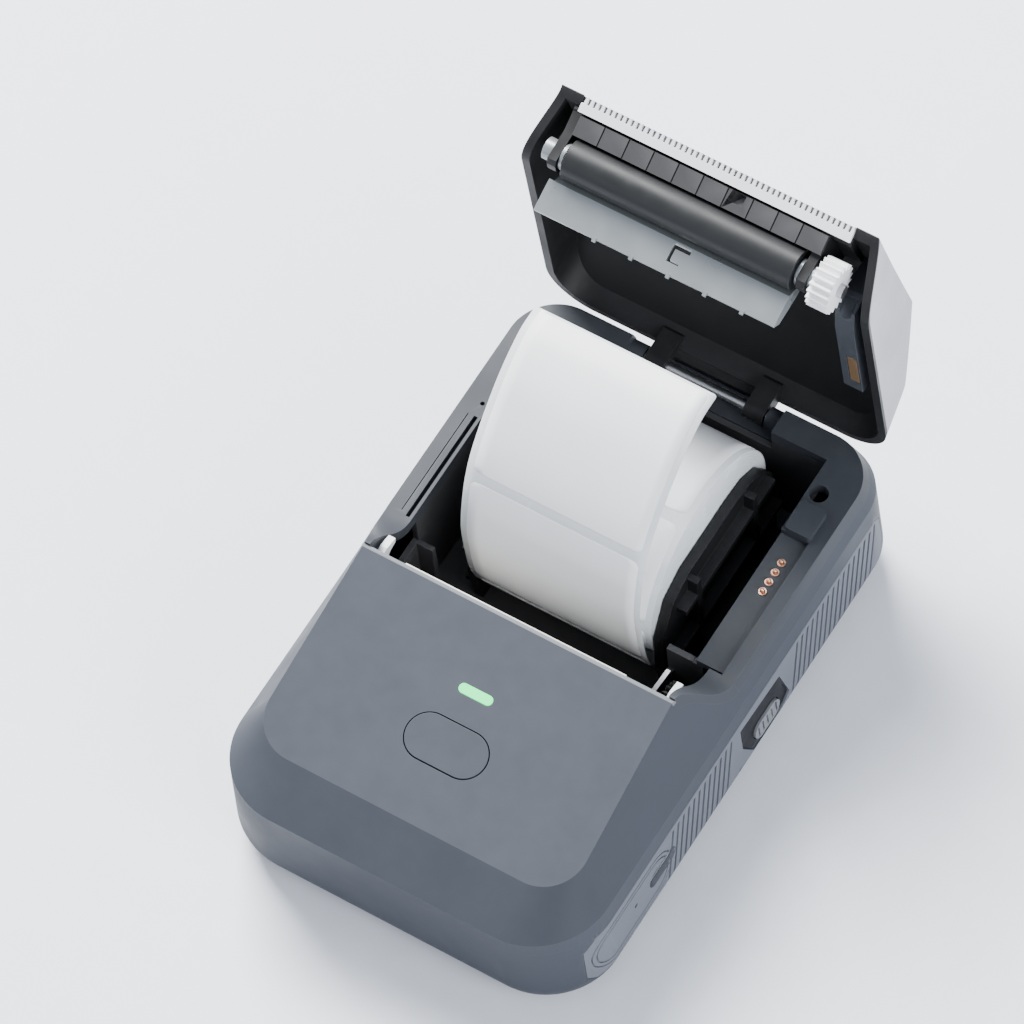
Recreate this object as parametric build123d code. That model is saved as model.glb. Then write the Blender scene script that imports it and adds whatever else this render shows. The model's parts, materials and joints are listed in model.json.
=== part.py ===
"""Portable thermal printer with a hinged cover, shown with the cover open.

Millimetres, +X right, +Y to the rear, +Z up. The shapes are drawn with Y = 0 at
the front edge and moved at export, so the origin is the centre of the flat base.
Cover pieces are drawn closed and turned open about the hinge at export.
"""

from build123d import *
import math
import os

os.makedirs("parts", exist_ok=True)

# Body
BODY_LENGTH = 133.0
BODY_WALL = 2.0
FOOT_HALF = 44.8
FOOT_FRONT = 1.0
FOOT_ROUND = 8.0
SHOULDER_HALF = 43.4
SHOULDER_REAR = 132.6
SHOULDER_Z = 28.7
FRONT_CORNER = 17.0
REAR_CORNER = 12.0
PARTING_Z = 24.6

# Sloped front panel and the step down to the rear rim
PANEL_FRONT = 10.4
PANEL_EDGE = 56.0
PANEL_FRONT_Z = 36.55
PANEL_RISE = 0.241
PANEL_FRONT_HALF = 37.6
PANEL_REAR_HALF = 36.2
PANEL_CORNER = 9.5
LIP = 0.8
STEP_END = 70.7
DECK_Z = 35.0
DECK_HALF = 41.4
DECK_REAR = 130.4
DECK_CORNER = 11.0
DECK_THICK = 3.1

# Cover
HINGE_Y = 129.2
HINGE_Z = 30.9
OPEN_ANGLE = 85.0
COVER_GAP = 0.35
COVER_HALF = 40.7
COVER_REAR = 130.9
COVER_CORNER = 10.7
COVER_SHELL = 1.2
COVER_LINER = 0.7
COVER_RIM = 0.9
RIDGE_Y = 98.0
RIDGE_Z = 55.5
BACK_Y = 129.0
BACK_Z = 41.0
SWING_CLEAR = 4.15

# Paper bay
BAY_LEFT = -35.4
BAY_RIGHT = 31.6
BAY_REAR = 124.4
BAY_FLOOR = 4.0
BAY_WALL = 1.4
BAY_FRONT = 62.0
POCKET_LEFT = 24.4
POCKET_RIGHT = 35.3
POCKET_REAR = 71.9

# Paper
ROLL_X = -1.9
ROLL_Y = 97.0
ROLL_Z = 28.0
ROLL_RADIUS = 23.2
ROLL_WIDTH = 42.5
CORE_OUTER = 8.0
CORE_INNER = 6.4
STRIP_THICK = 0.25
STRIP_ARCS = 20
STRIP_PATH = [
    (95.0, 4.5), (84.0, 5.7), (76.6, 11.0), (72.5, 20.5), (71.0, 33.0), (71.3, 46.0),
    (76.2, 61.4), (87.0, 73.8), (97.1, 80.3), (104.5, 81.2),
]

# Platen and gear train
PLATEN_Y = 64.3
PLATEN_Z = 37.5
PLATEN_RADIUS = 4.4
SHAFT_RADIUS = 1.5
GEAR_MODULE = 0.5
GEAR_FACE = 28.4
GEAR_WIDTH = 4.4
PINION_TEETH = 16
IDLER_TEETH = 28
DRIVE_TEETH = 20
MOTOR_Y = 44.0
MOTOR_Z = 33.0
DRIVE_Y = 63.0
DRIVE_Z = 26.1

# Fits
RUN_FIT = 0.05
PIECE_GAP = 0.3

PANEL_ANGLE = math.degrees(math.atan(PANEL_RISE))
PANEL_COS = math.cos(math.radians(PANEL_ANGLE))
PANEL_EDGE_Z = PANEL_FRONT_Z + PANEL_RISE * (PANEL_EDGE - PANEL_FRONT)


def box(x0, x1, y0, y1, z0, z1):
    """A block between two corners."""
    return Pos((x0 + x1) / 2, (y0 + y1) / 2, (z0 + z1) / 2) * Box(x1 - x0, y1 - y0, z1 - z0)


def rod(y, z, radius, x0, x1):
    """A cylinder along X."""
    return extrude(Plane.YZ.offset(x0) * Pos(y, z) * Circle(radius), x1 - x0)


def post(x, y, radius, z0, z1):
    """A cylinder along Z."""
    return Pos(x, y, (z0 + z1) / 2) * Cylinder(radius, z1 - z0)


def side_prism(points, x0, x1):
    """A prism along X on a polygon of (y, z) points."""
    return extrude(Plane.YZ.offset(x0) * make_face(Polyline(*points, close=True)), x1 - x0)


def front_prism(points, y0, y1):
    """A prism along Y on a polygon of (x, z) points."""
    return extrude(Plane.XZ.offset(-y1) * make_face(Polyline(*points, close=True)), y1 - y0)


def plan_prism(points, z0, z1):
    """A prism along Z on a polygon of (x, y) points."""
    return extrude(Plane.XY.offset(z0) * make_face(Polyline(*points, close=True)), z1 - z0)


def outline(plane, front_half, rear_half, front, rear, front_radius, rear_radius):
    """A four-sided outline with rounded front and rear corners."""
    corners = [(-front_half, front), (front_half, front), (rear_half, rear), (-rear_half, rear)]
    sketch = Polygon(*corners, align=None)
    if front_radius > 0:
        sketch = fillet(sketch.vertices().sort_by(Axis.Y)[:2], front_radius)
    if rear_radius > 0:
        sketch = fillet(sketch.vertices().sort_by(Axis.Y)[-2:], rear_radius)
    return plane * sketch


def panel_plane(lower):
    """The plane of the sloped panel, lowered along its normal."""
    angle = math.radians(PANEL_ANGLE)
    start = (0, 0, PANEL_FRONT_Z - PANEL_RISE * PANEL_FRONT)
    return Plane(origin=start, x_dir=(1, 0, 0), z_dir=(0, -math.sin(angle), math.cos(angle))).offset(-lower)


def step_line(lower):
    """The S-shaped edge from the panel down to the deck, lowered."""
    start = (PANEL_EDGE, PANEL_EDGE_Z - lower)
    end = (STEP_END, DECK_Z - lower)
    return Bezier(start, (61.0, 46.5 - lower), (64.0, DECK_Z - lower), end)


def above_step(lower, front=PANEL_EDGE, rear=STEP_END + 5.0):
    """Everything above the S-shaped edge and the deck, lowered."""
    edge = step_line(lower)
    rest = Polyline(
        (STEP_END, DECK_Z - lower),
        (rear, DECK_Z - lower),
        (rear, 75.0),
        (front - 0.001, 75.0),
        (PANEL_EDGE, PANEL_EDGE_Z - lower),
    )
    return extrude(Plane.YZ * make_face(edge + rest), 60.0, both=True)


def body_block(inset):
    """The outer form of the body, moved in by a wall."""
    shoulder_plane = Plane.XY.offset(SHOULDER_Z)
    half = SHOULDER_HALF - inset
    rear = SHOULDER_REAR - inset
    foot_half = FOOT_HALF - inset
    foot = outline(
        Plane.XY.offset(inset), foot_half, foot_half, FOOT_FRONT + inset, BODY_LENGTH - inset,
        FRONT_CORNER - inset, REAR_CORNER - inset,
    )
    shoulder = outline(shoulder_plane, half, half, inset, rear, FRONT_CORNER - inset, REAR_CORNER - inset)
    lower = loft([foot, shoulder], ruled=True)
    lower = fillet(lower.edges().group_by(Axis.Z)[0], FOOT_ROUND - inset)
    nose_foot = outline(shoulder_plane, half, half, inset, STEP_END, FRONT_CORNER - inset, 0)
    nose_top = outline(
        panel_plane(inset), PANEL_FRONT_HALF - inset, PANEL_REAR_HALF - inset,
        PANEL_FRONT / PANEL_COS + inset, STEP_END / PANEL_COS, PANEL_CORNER, 0,
    )
    nose = loft([nose_foot, nose_top], ruled=True) - above_step(inset)
    ring_foot = outline(shoulder_plane, half, half, STEP_END, rear, 0, REAR_CORNER - inset)
    ring_top = outline(
        Plane.XY.offset(DECK_Z - inset), DECK_HALF - inset, DECK_HALF - inset,
        STEP_END, DECK_REAR - inset, 0, DECK_CORNER - inset,
    )
    ring = loft([ring_foot, ring_top], ruled=True)
    return lower + nose + ring


def cover_block(inset):
    """The outer form of the closed cover, moved in by a wall."""
    low_z = DECK_Z - 1.0
    top_z = 56.0
    slope = 0.35
    low = outline(
        Plane.XY.offset(low_z), COVER_HALF + 0.2 - inset, COVER_HALF + 0.2 - inset,
        50.0, COVER_REAR + slope * 1.2 - inset, 0, COVER_CORNER - inset,
    )
    top = outline(
        Plane.XY.offset(top_z), 33.9 - inset, 38.6 - inset,
        50.0, COVER_REAR - slope * 20.7 - inset, 0, 9.0 - inset,
    )
    block = loft([low, top], ruled=True)
    tip = (PANEL_EDGE + PIECE_GAP, 48.0 - inset)
    roof = [
        (40.0, 48.0 - 16.3 * 0.18 - inset),
        (RIDGE_Y, RIDGE_Z - inset * 1.03),
        (RIDGE_Y + 50.0, RIDGE_Z - 50.0 * (RIDGE_Z - BACK_Z) / (BACK_Y - RIDGE_Y) - inset * 1.09),
        (RIDGE_Y + 50.0, 90.0),
        (40.0, 90.0),
    ]
    block -= side_prism(roof, -60.0, 60.0)
    block -= box(-60.0, 60.0, 30.0, tip[0] + inset, 0.0, 90.0)
    return block


def above_rim(lift):
    """Everything above the cover's rim, lifted."""
    return above_step(-lift, rear=170.0)


def open_cover(shape):
    """Turn a closed cover piece to the open rest pose."""
    hinge = Pos(0, HINGE_Y, HINGE_Z)
    return hinge * Rot(-OPEN_ANGLE, 0, 0) * hinge.inverse() * shape


def gear_face(teeth, phase, thin=0.12):
    """An involute gear outline with a tooth centred on the phase angle."""
    pitch = GEAR_MODULE * teeth / 2
    pressure = math.radians(20.0)
    base = pitch * math.cos(pressure)
    tip = pitch + 0.95 * GEAR_MODULE
    root = pitch - 1.25 * GEAR_MODULE
    start = max(base, root)
    half = math.pi / (2 * teeth) - thin / (2 * pitch)
    flank = []
    for step in range(5):
        radius = start + (tip - start) * step / 4
        turn = math.acos(min(1.0, base / radius))
        flank.append((radius, half + math.tan(pressure) - pressure - (math.tan(turn) - turn)))
    points = []
    for tooth in range(teeth):
        centre = phase + 2 * math.pi * tooth / teeth
        points.append((root, centre - flank[0][1] - 0.02))
        points += [(radius, centre - angle) for radius, angle in flank]
        points += [(radius, centre + angle) for radius, angle in reversed(flank)]
        points.append((root, centre + flank[0][1] + 0.02))
    return Polygon(*[(r * math.cos(a), r * math.sin(a)) for r, a in points], align=None)


def gear(teeth, phase, y, z, x0, x1, bore):
    """A spur gear along X with a bore."""
    face = Pos(y, z) * (gear_face(teeth, phase) - Circle(bore))
    return extrude(Plane.YZ.offset(x0) * face, x1 - x0)


def meshed_phase(teeth, phase, next_teeth, heading):
    """The phase of the next gear, found in the given direction, so that the teeth mesh."""
    pitch = 2 * math.pi / teeth
    offset = (heading - phase) % pitch
    return heading + math.pi + math.pi / next_teeth + offset * teeth / next_teeth


def idler_centre():
    """The idler centre, in mesh with the pinion and the drive gear."""
    first = GEAR_MODULE * (PINION_TEETH + IDLER_TEETH) / 2
    second = GEAR_MODULE * (IDLER_TEETH + DRIVE_TEETH) / 2
    dy = DRIVE_Y - MOTOR_Y
    dz = DRIVE_Z - MOTOR_Z
    span = math.hypot(dy, dz)
    along = (first ** 2 - second ** 2 + span ** 2) / (2 * span)
    away = math.sqrt(first ** 2 - along ** 2)
    return MOTOR_Y + (along * dy + away * dz) / span, MOTOR_Z + (along * dz - away * dy) / span


OUTER = body_block(0.0)
INNER = body_block(BODY_WALL)
GRIP_DEPTH = 1.1
GROOVE_DEPTH = 0.45
GRIP_LAYER = OUTER - body_block(GRIP_DEPTH)
GROOVE_LAYER = OUTER - body_block(GROOVE_DEPTH)
INNER_SEAT = body_block(BODY_WALL - 0.3)
COVER_OUTER = cover_block(0.0)
COVER_MIDDLE = cover_block(COVER_SHELL)
COVER_INNER = cover_block(COVER_SHELL + COVER_LINER)
IDLER_Y, IDLER_Z = idler_centre()

BAY_OPENING = [
    (BAY_LEFT, PANEL_EDGE),
    (POCKET_RIGHT, PANEL_EDGE),
    (POCKET_RIGHT, POCKET_REAR),
    (BAY_RIGHT, POCKET_REAR),
    (BAY_RIGHT, BAY_REAR),
    (BAY_LEFT, BAY_REAR),
]

# Grips, release, port
GRIP_GAP = 0.15
GRIP_OUTLINE = [
    (9.3, 9.0), (11.5, 6.8), (50.0, 5.2), (118.0, 5.2), (124.6, 7.4), (125.7, 12.0),
    (125.0, 19.6), (122.4, 22.7), (12.5, 22.7), (9.3, 19.6),
]
BEZEL_OUTLINE = [(83.1, 19.2), (85.8, 9.2), (80.2, 5.2), (72.6, 5.2), (67.9, 13.2), (68.0, 20.1)]
RELEASE_Y = 77.4
RELEASE_Z = 10.6
RELEASE_LENGTH = 9.6
RELEASE_HEIGHT = 5.2
PORT_Y = 36.1
PORT_Z = 14.5
PORT_LENGTH = 8.94
PORT_HEIGHT = 3.2

# Catch
LATCH_Y = 55.0
LATCH_Z = 14.0

# Case screws
SCREW_PLACES = [(-38.2, 26.0), (38.2, 26.0), (-39.5, 114.0), (39.5, 114.0)]
BOSS_RADIUS = 2.6
SCREW_RADIUS = 1.1
HEAD_RADIUS = 1.9

# Contact pins
PIN_X = 35.3
PIN_FIRST = 92.0
PIN_PITCH = 2.54
PIN_RADIUS = 0.5
BARREL_RADIUS = 0.9
PLATE_Z = 33.6

# Power button and light
BUTTON_Y = 27.3
BUTTON_LENGTH = 18.5
BUTTON_WIDTH = 10.0
LIGHT_Y = 39.0
LIGHT_LENGTH = 8.0
LIGHT_WIDTH = 2.3


def offset_outline(points, amount):
    """An outline in the YZ plane grown by a gap."""
    face = make_face(Polyline(*points, close=True))
    return face if amount == 0 else offset(face, amount)


def grip_blank(side, gap):
    """The side layer that a grip fills, on one side."""
    block = extrude(Plane.YZ.offset(30.0 * side) * offset_outline(GRIP_OUTLINE, gap), 30.0 * side)
    return block & GRIP_LAYER


def grip_grooves(side, start, end):
    """Slanted grooves cut into a grip."""
    cutters = []
    y = start
    while y < end:
        points = [(y, 6.6), (y + 0.8, 6.6), (y + 4.8, 21.4), (y + 4.0, 21.4)]
        cutters.append(extrude(Plane.YZ.offset(36.0 * side) * make_face(Polyline(*points, close=True)), 14.0 * side))
        y += 2.1
    return GROOVE_LAYER & Compound(cutters)


def stadium_prism(side, y, z, length, height, x0, x1):
    """A stadium in the side plane extruded between two distances from the middle."""
    face = Pos(y, z) * SlotOverall(length, height)
    return extrude(Plane.YZ.offset(x0 * side) * face, (x1 - x0) * side)


def panel_stadium(y, length, width, low, high):
    """A stadium on the sloped panel between two depths along its normal."""
    plane = panel_plane(-low)
    return extrude(plane * Pos(0, y / PANEL_COS) * SlotOverall(length, width), high - low)


def right_grip():
    """The ribbed grip on the right, open for the catch release and the port."""
    grip = grip_blank(1, 0)
    grip -= grip_grooves(1, 37.0, 61.0)
    grip -= grip_grooves(1, 86.5, 119.0)
    grip -= extrude(Plane.YZ.offset(36.0) * offset_outline(BEZEL_OUTLINE, GRIP_GAP), 12.0)
    grip -= stadium_prism(1, PORT_Y, PORT_Z, PORT_LENGTH + 1.2, PORT_HEIGHT + 1.2, 36.0, 50.0)
    for inset in (0.0, 1.2):
        ring = stadium_prism(1, 25.0, 14.4, 29.0 - 2 * inset, 13.0 - 2 * inset, 36.0, 50.0)
        ring -= stadium_prism(1, 25.0, 14.4, 28.2 - 2 * inset, 12.2 - 2 * inset, 35.0, 51.0)
        grip -= ring & GROOVE_LAYER
    grip -= rod(25.7, 15.0, 0.6, 36.0, 50.0)
    grip -= rod(66.2, 6.9, 0.6, 36.0, 50.0)
    return grip


def left_grip():
    """The ribbed grip on the left."""
    return grip_blank(-1, 0) - grip_grooves(-1, 14.0, 118.0)


def release_bezel():
    """The dark plate round the catch release."""
    blank = extrude(Plane.YZ.offset(36.0) * make_face(Polyline(*BEZEL_OUTLINE, close=True)), 12.0)
    plate = blank & GRIP_LAYER
    plate -= blank & GROOVE_LAYER & box(36.0, 48.0, 60.0, 90.0, 0.0, 15.4)
    return plate - stadium_prism(1, RELEASE_Y, RELEASE_Z, RELEASE_LENGTH + 0.4, RELEASE_HEIGHT + 0.4, 34.0, 50.0)


def release_button():
    """The ribbed catch release with its wedge-nosed stem."""
    cap = stadium_prism(1, RELEASE_Y, RELEASE_Z, RELEASE_LENGTH, RELEASE_HEIGHT, 40.9, 50.0)
    cap &= OUTER
    for step in range(-2, 3):
        y = RELEASE_Y + 1.7 * step
        cap -= box(43.6, 50.0, y - 0.3, y + 0.3, RELEASE_Z - 1.8, RELEASE_Z + 1.8)
    flange = stadium_prism(1, RELEASE_Y, RELEASE_Z, RELEASE_LENGTH + 2.0, RELEASE_HEIGHT + 1.6, 40.0, 41.0)
    flange -= box(39.0, 40.9, 75.4, 80.4, 11.5, 20.0)
    nose = front_prism([(38.24, 8.42), (40.44, 11.42), (41.0, 11.42), (41.0, 7.4), (38.24, 7.4)], 76.4, 79.4)
    return cap + flange + nose


def lower_case():
    """The lower case with its floor, screw bosses and battery walls."""
    case = (OUTER - INNER) & box(-60, 60, -10, 150, -1, PARTING_Z)
    case -= grip_blank(1, GRIP_GAP)
    case -= grip_blank(-1, GRIP_GAP)
    bosses = [post(x, y, BOSS_RADIUS, BODY_WALL - 0.2, PARTING_Z) for x, y in SCREW_PLACES]
    rails = [
        box(-34.6, -33.4, 12.0, 47.5, 1.0, 12.0),
        box(20.4, 21.6, 12.0, 26.0, 1.0, 12.0),
        box(-30.0, 18.0, 9.6, 10.8, 1.0, 12.0),
        box(-30.0, 18.0, 49.2, 50.4, 1.0, 10.0),
        box(24.5, 27.5, 29.0, 43.0, 1.0, 11.4),
        box(33.0, 36.0, 29.0, 31.5, 1.0, 11.4),
    ]
    rails.append(post(ROLL_X, ROLL_Y, AXLE_RADIUS, 1.0, BAY_FLOOR))
    inside = Compound(bosses + rails) & INNER_SEAT
    case += inside
    for x, y in SCREW_PLACES:
        case -= post(x, y, SCREW_RADIUS + 0.2, -1, PARTING_Z + 1)
        case -= post(x, y, HEAD_RADIUS + 0.2, -1, 3.6)
    case -= stadium_prism(1, PORT_Y, PORT_Z, PORT_LENGTH + 0.4, PORT_HEIGHT + 0.4, 36.0, 50.0)
    case -= stadium_prism(1, RELEASE_Y, RELEASE_Z, RELEASE_LENGTH + 0.8, RELEASE_HEIGHT + 0.8, 36.0, 50.0)
    case -= stadium_prism(1, RELEASE_Y, RELEASE_Z, RELEASE_LENGTH + 2.6, RELEASE_HEIGHT + 2.2, 36.0, 41.8)
    return case


def hinge_notch():
    """The gap in the rear edge that the cover's arms swing through."""
    return box(-18.3, 18.3, BAY_REAR - 3.0, 150.0, 28.0, 60.0)


def rear_nose():
    """What is trimmed off the rear edge so that the cover swings past it."""
    block = box(-60, 60, HINGE_Y, 150, HINGE_Z, 60)
    return block - rod(HINGE_Y, HINGE_Z, SWING_CLEAR, -61, 61)


def upper_case():
    """The upper case: sloped panel, front band and the rear side walls."""
    case = (OUTER - INNER) & box(-60, 60, -10, 150, PARTING_Z, 80)
    case -= above_step(DECK_THICK, rear=170.0)
    case -= box(-60, 60, PANEL_EDGE, 150, DECK_Z - DECK_THICK, 80) & box(-60, 60, STEP_END, 150, 0, 80)
    lip_z = PANEL_EDGE_Z - PANEL_RISE * LIP
    lip = [(PANEL_EDGE - LIP, lip_z), (PANEL_EDGE + 0.2, PANEL_EDGE_Z - LIP), (PANEL_EDGE + 0.2, 60), (PANEL_EDGE - LIP, 60)]
    case -= side_prism(lip, -60, 60)
    case -= hinge_notch()
    case -= rear_nose()
    case -= box(-20.2, 20.2, HINGE_Y - 2.6, 150, HINGE_Z - 2.6, 60)
    case -= panel_stadium(BUTTON_Y, BUTTON_LENGTH + 0.5, BUTTON_WIDTH + 0.5, -5.0, 1.0)
    case -= panel_stadium(LIGHT_Y, LIGHT_LENGTH, LIGHT_WIDTH, -5.0, 1.0)
    bosses = Compound([post(x, y, BOSS_RADIUS, PARTING_Z, 31.0) for x, y in SCREW_PLACES])
    case += bosses & INNER_SEAT & box(-60, 60, 0, 150, PARTING_Z, DECK_Z - DECK_THICK)
    for x, y in SCREW_PLACES:
        case -= post(x, y, SCREW_RADIUS, PARTING_Z - 1, 30.0)
    return case


def body_knuckles():
    """The two hinge knuckles of the deck."""
    right = rod(HINGE_Y, HINGE_Z, 2.3, 14.8, 19.0)
    left = rod(HINGE_Y, HINGE_Z, 2.3, -19.0, -14.8)
    return right + left


BRIDGE_FRONT = BAY_REAR + BAY_WALL + 0.2
BRIDGE_REAR = 129.9


def deck_frame():
    """The dark deck round the paper bay, with its S-shaped arms and hinge knuckles."""
    layer = above_step(DECK_THICK, rear=170.0) - box(-60, 60, 0, PANEL_EDGE + 0.02, 0, 80)
    deck = OUTER & layer
    deck -= plan_prism(BAY_OPENING, 20.0, 60.0)
    deck -= hinge_notch()
    deck -= rear_nose()
    deck -= box(BAY_RIGHT - 1, 38.3, POCKET_REAR - 1.0, 105.8, 20, 60)
    block = box(32.3, 38.4, 105.8, 113.1, DECK_Z - DECK_THICK, 36.7)
    deck += fillet(block.edges().filter_by(Axis.Z), 0.8)
    deck -= post(34.2, 116.7, 2.05, 20, 60)
    deck -= post(-38.3, 116.6, 0.9, DECK_Z - 1.0, 60)
    deck -= post(-37.0, 101.0, 0.5, DECK_Z - 1.0, 60)
    deck -= box(-37.0, -36.1, 70.7, 97.7, DECK_Z - 1.6, 60)
    deck -= box(-38.5, -38.3, 71.5, 97.7, DECK_Z - 0.4, 60)
    deck += body_knuckles() & box(-60, 60, 100, 150, 0, 60)
    deck += box(-20.0, 20.0, BRIDGE_FRONT, BRIDGE_REAR, 25.2, 27.9)
    for side in (-1, 1):
        leg = sorted((side * 18.3, side * 20.0))
        deck += box(*leg, BRIDGE_FRONT, BRIDGE_REAR, 25.2, DECK_Z - DECK_THICK + 0.1)
    return deck - rod(HINGE_Y, HINGE_Z, 1.25, -17.6, 17.6)


def contact_plate():
    """The recessed strip beside the bay that holds the contact pins."""
    plate = box(BAY_RIGHT, 38.25, POCKET_REAR, 105.75, PLATE_Z - 1.9, PLATE_Z)
    for pin in range(4):
        plate -= post(PIN_X, PIN_FIRST + PIN_PITCH * pin, BARREL_RADIUS, 20, 60)
    return plate


def contact_barrels():
    """The four barrels of the contact pins."""
    barrels = []
    for pin in range(4):
        y = PIN_FIRST + PIN_PITCH * pin
        barrel = post(PIN_X, y, BARREL_RADIUS, 27.4, PLATE_Z + 0.25)
        barrels.append(barrel - post(PIN_X, y, PIN_RADIUS + RUN_FIT, 28.4, 60))
    return Compound(barrels)


def contact_pins():
    """The four plungers of the contact pins."""
    pins = []
    for pin in range(4):
        y = PIN_FIRST + PIN_PITCH * pin
        plunger = post(PIN_X, y, PIN_RADIUS, 30.2, 34.3)
        pins.append(plunger + Pos(PIN_X, y, 34.3) * Sphere(PIN_RADIUS))
    return Compound(pins)


def paper_bay():
    """The tub that holds the label roll."""
    wall = BAY_WALL
    inner = [
        (BAY_LEFT, BAY_FRONT), (POCKET_LEFT, BAY_FRONT), (POCKET_LEFT, POCKET_REAR + wall),
        (BAY_RIGHT, POCKET_REAR + wall), (BAY_RIGHT, BAY_REAR), (BAY_LEFT, BAY_REAR),
    ]
    outer = [
        (BAY_LEFT - wall, BAY_FRONT - wall), (POCKET_LEFT + wall, BAY_FRONT - wall),
        (POCKET_LEFT + wall, POCKET_REAR), (BAY_RIGHT + wall, POCKET_REAR),
        (BAY_RIGHT + wall, BAY_REAR + wall), (BAY_LEFT - wall, BAY_REAR + wall),
    ]
    top = DECK_Z - DECK_THICK
    tub = plan_prism(outer, BAY_FLOOR - wall, top) - plan_prism(inner, BAY_FLOOR, top + 1)
    tub -= box(-60, 60, 50, POCKET_REAR, BAY_FRONT_TOP, 60)
    tub -= box(BAY_RIGHT - 1, 60, POCKET_REAR - 1, 105.8, PLATE_Z - 1.9, 60)
    tub -= hinge_notch()
    tub += box(BAY_LEFT, -31.6, 71.0, 72.2, BAY_FLOOR, 24.0)
    tub -= rack_slot(-1) + rack_slot(1)
    return tub - post(ROLL_X, ROLL_Y, RACK_RADIUS + TOOTH_TIP + 0.3, 0, BAY_FLOOR + 1)


BAY_FRONT_TOP = 24.0
HOLDER_FACE = ROLL_WIDTH / 2 + 0.25
HOLDER_THICK = 2.2
HOLDER_TRAVEL = 6.5
HUB_LENGTH = 3.0
HUB_GAP = 0.5
HUB_BORE = 4.0
RACK_TEETH = 16
RACK_PITCH = math.pi * GEAR_MODULE
RACK_RADIUS = GEAR_MODULE * RACK_TEETH / 2
RACK_LOW = BODY_WALL + 0.3
RACK_HIGH = BAY_FLOOR - 0.2
RACK_INNER = 10.5
RACK_BACK = 1.8
TOOTH_ROOT = 1.25 * GEAR_MODULE
TOOTH_TIP = 0.95 * GEAR_MODULE
AXLE_RADIUS = 1.2


def roll_holder(side):
    """One roll holder: a ribbed plate beside the roll."""
    face = ROLL_X + side * HOLDER_FACE
    back = face + side * HOLDER_THICK
    low, high = min(face, back), max(face, back)
    base_z = BAY_FLOOR + 0.3
    shape = [
        (75.5, base_z), (119.0, base_z), (119.8, 20.0), (118.6, 30.0), (115.4, 35.4),
        (110.4, 38.4), (104.0, 39.2), (86.0, 39.2), (79.4, 36.4), (74.6, 27.5), (74.0, 16.0),
    ]
    plate = side_prism(shape, low, high)
    rib_low, rib_high = sorted((back, back + side * 2.4))
    ribs = [
        side_prism([(76.2, 9.0), (76.2, 7.4), (117.6, 7.4), (117.6, 9.0)], rib_low, rib_high),
        side_prism([(76.4, 20.6), (76.4, 19.0), (118.4, 19.0), (118.4, 20.6)], rib_low, rib_high),
        side_prism([(80.4, 33.4), (80.4, 31.8), (116.0, 31.8), (116.0, 33.4)], rib_low, rib_high),
        side_prism([(85.0, 9.0), (86.6, 9.0), (86.6, 38.0), (85.0, 38.0)], rib_low, rib_high),
        side_prism([(107.4, 9.0), (109.0, 9.0), (109.0, 38.0), (107.4, 38.0)], rib_low, rib_high),
    ]
    plate += ribs
    return plate - rod(ROLL_Y, ROLL_Z, HUB_BORE, low - 1, high + 1)


def holder_hub(side):
    """The hub of a holder, which enters the core of the roll."""
    face = ROLL_X + side * HOLDER_FACE
    low, high = sorted((face, face - side * HUB_LENGTH))
    return rod(ROLL_Y, ROLL_Z, CORE_INNER - HUB_GAP, low, high) - rod(ROLL_Y, ROLL_Z, HUB_BORE, low - 1, high + 1)


def rack_lines(side):
    """The pitch line, tooth root line and back line of a rack."""
    pitch = ROLL_Y + side * RACK_RADIUS
    root = pitch + side * TOOTH_ROOT
    return pitch, root, root + side * RACK_BACK


def holder_rack(side):
    """The toothed bar in the bay floor that ties a holder to the pinion."""
    pitch, root, back = rack_lines(side)
    near, far = sorted((root, back))
    inner_x = ROLL_X - side * RACK_INNER
    outer_x = ROLL_X + side * (HOLDER_FACE + HOLDER_THICK)
    bar = box(*sorted((inner_x, outer_x)), near, far, RACK_LOW, RACK_HIGH)
    slope = math.tan(math.radians(20.0))
    half = RACK_PITCH / 4 - 0.06
    foot_half = half + TOOTH_ROOT * slope
    tip_half = half - TOOTH_TIP * slope
    tip = pitch - side * TOOTH_TIP
    foot = root + side * 0.05
    for tooth in range(-6, 3):
        x = ROLL_X + side * (tooth + 0.5) * RACK_PITCH
        points = [(x - foot_half, foot), (x + foot_half, foot), (x + tip_half, tip), (x - tip_half, tip)]
        bar += plan_prism(points, RACK_LOW, RACK_HIGH)
    stem = sorted((outer_x, outer_x - side * HOLDER_THICK))
    return bar + box(*stem, near, far, RACK_LOW, BAY_FLOOR + 0.3)


def rack_slot(side):
    """The slot in the bay floor that a rack runs in."""
    pitch, _, back = rack_lines(side)
    near, far = sorted((pitch - side * (TOOTH_TIP + 0.3), back + side * 0.3))
    inner_x = ROLL_X - side * (RACK_INNER + 0.5)
    outer_x = ROLL_X + side * (HOLDER_FACE + HOLDER_THICK + HOLDER_TRAVEL + 0.5)
    return box(*sorted((inner_x, outer_x)), near, far, 0, BAY_FLOOR + 1)


def holder_pinion():
    """The pinion between the two racks."""
    face = gear_face(RACK_TEETH, math.pi / 2) - Circle(AXLE_RADIUS + RUN_FIT)
    return extrude(Plane.XY.offset(RACK_LOW) * Pos(ROLL_X, ROLL_Y) * face, RACK_HIGH - RACK_LOW)


def label_roll():
    """The wound labels."""
    half = ROLL_WIDTH / 2
    roll = rod(ROLL_Y, ROLL_Z, ROLL_RADIUS, ROLL_X - half, ROLL_X + half)
    return roll - rod(ROLL_Y, ROLL_Z, CORE_OUTER, ROLL_X - half - 1, ROLL_X + half + 1)


def roll_core():
    """The paper tube the labels are wound on."""
    half = ROLL_WIDTH / 2
    core = rod(ROLL_Y, ROLL_Z, CORE_OUTER, ROLL_X - half, ROLL_X + half)
    return core - rod(ROLL_Y, ROLL_Z, CORE_INNER, ROLL_X - half - 1, ROLL_X + half + 1)


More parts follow.
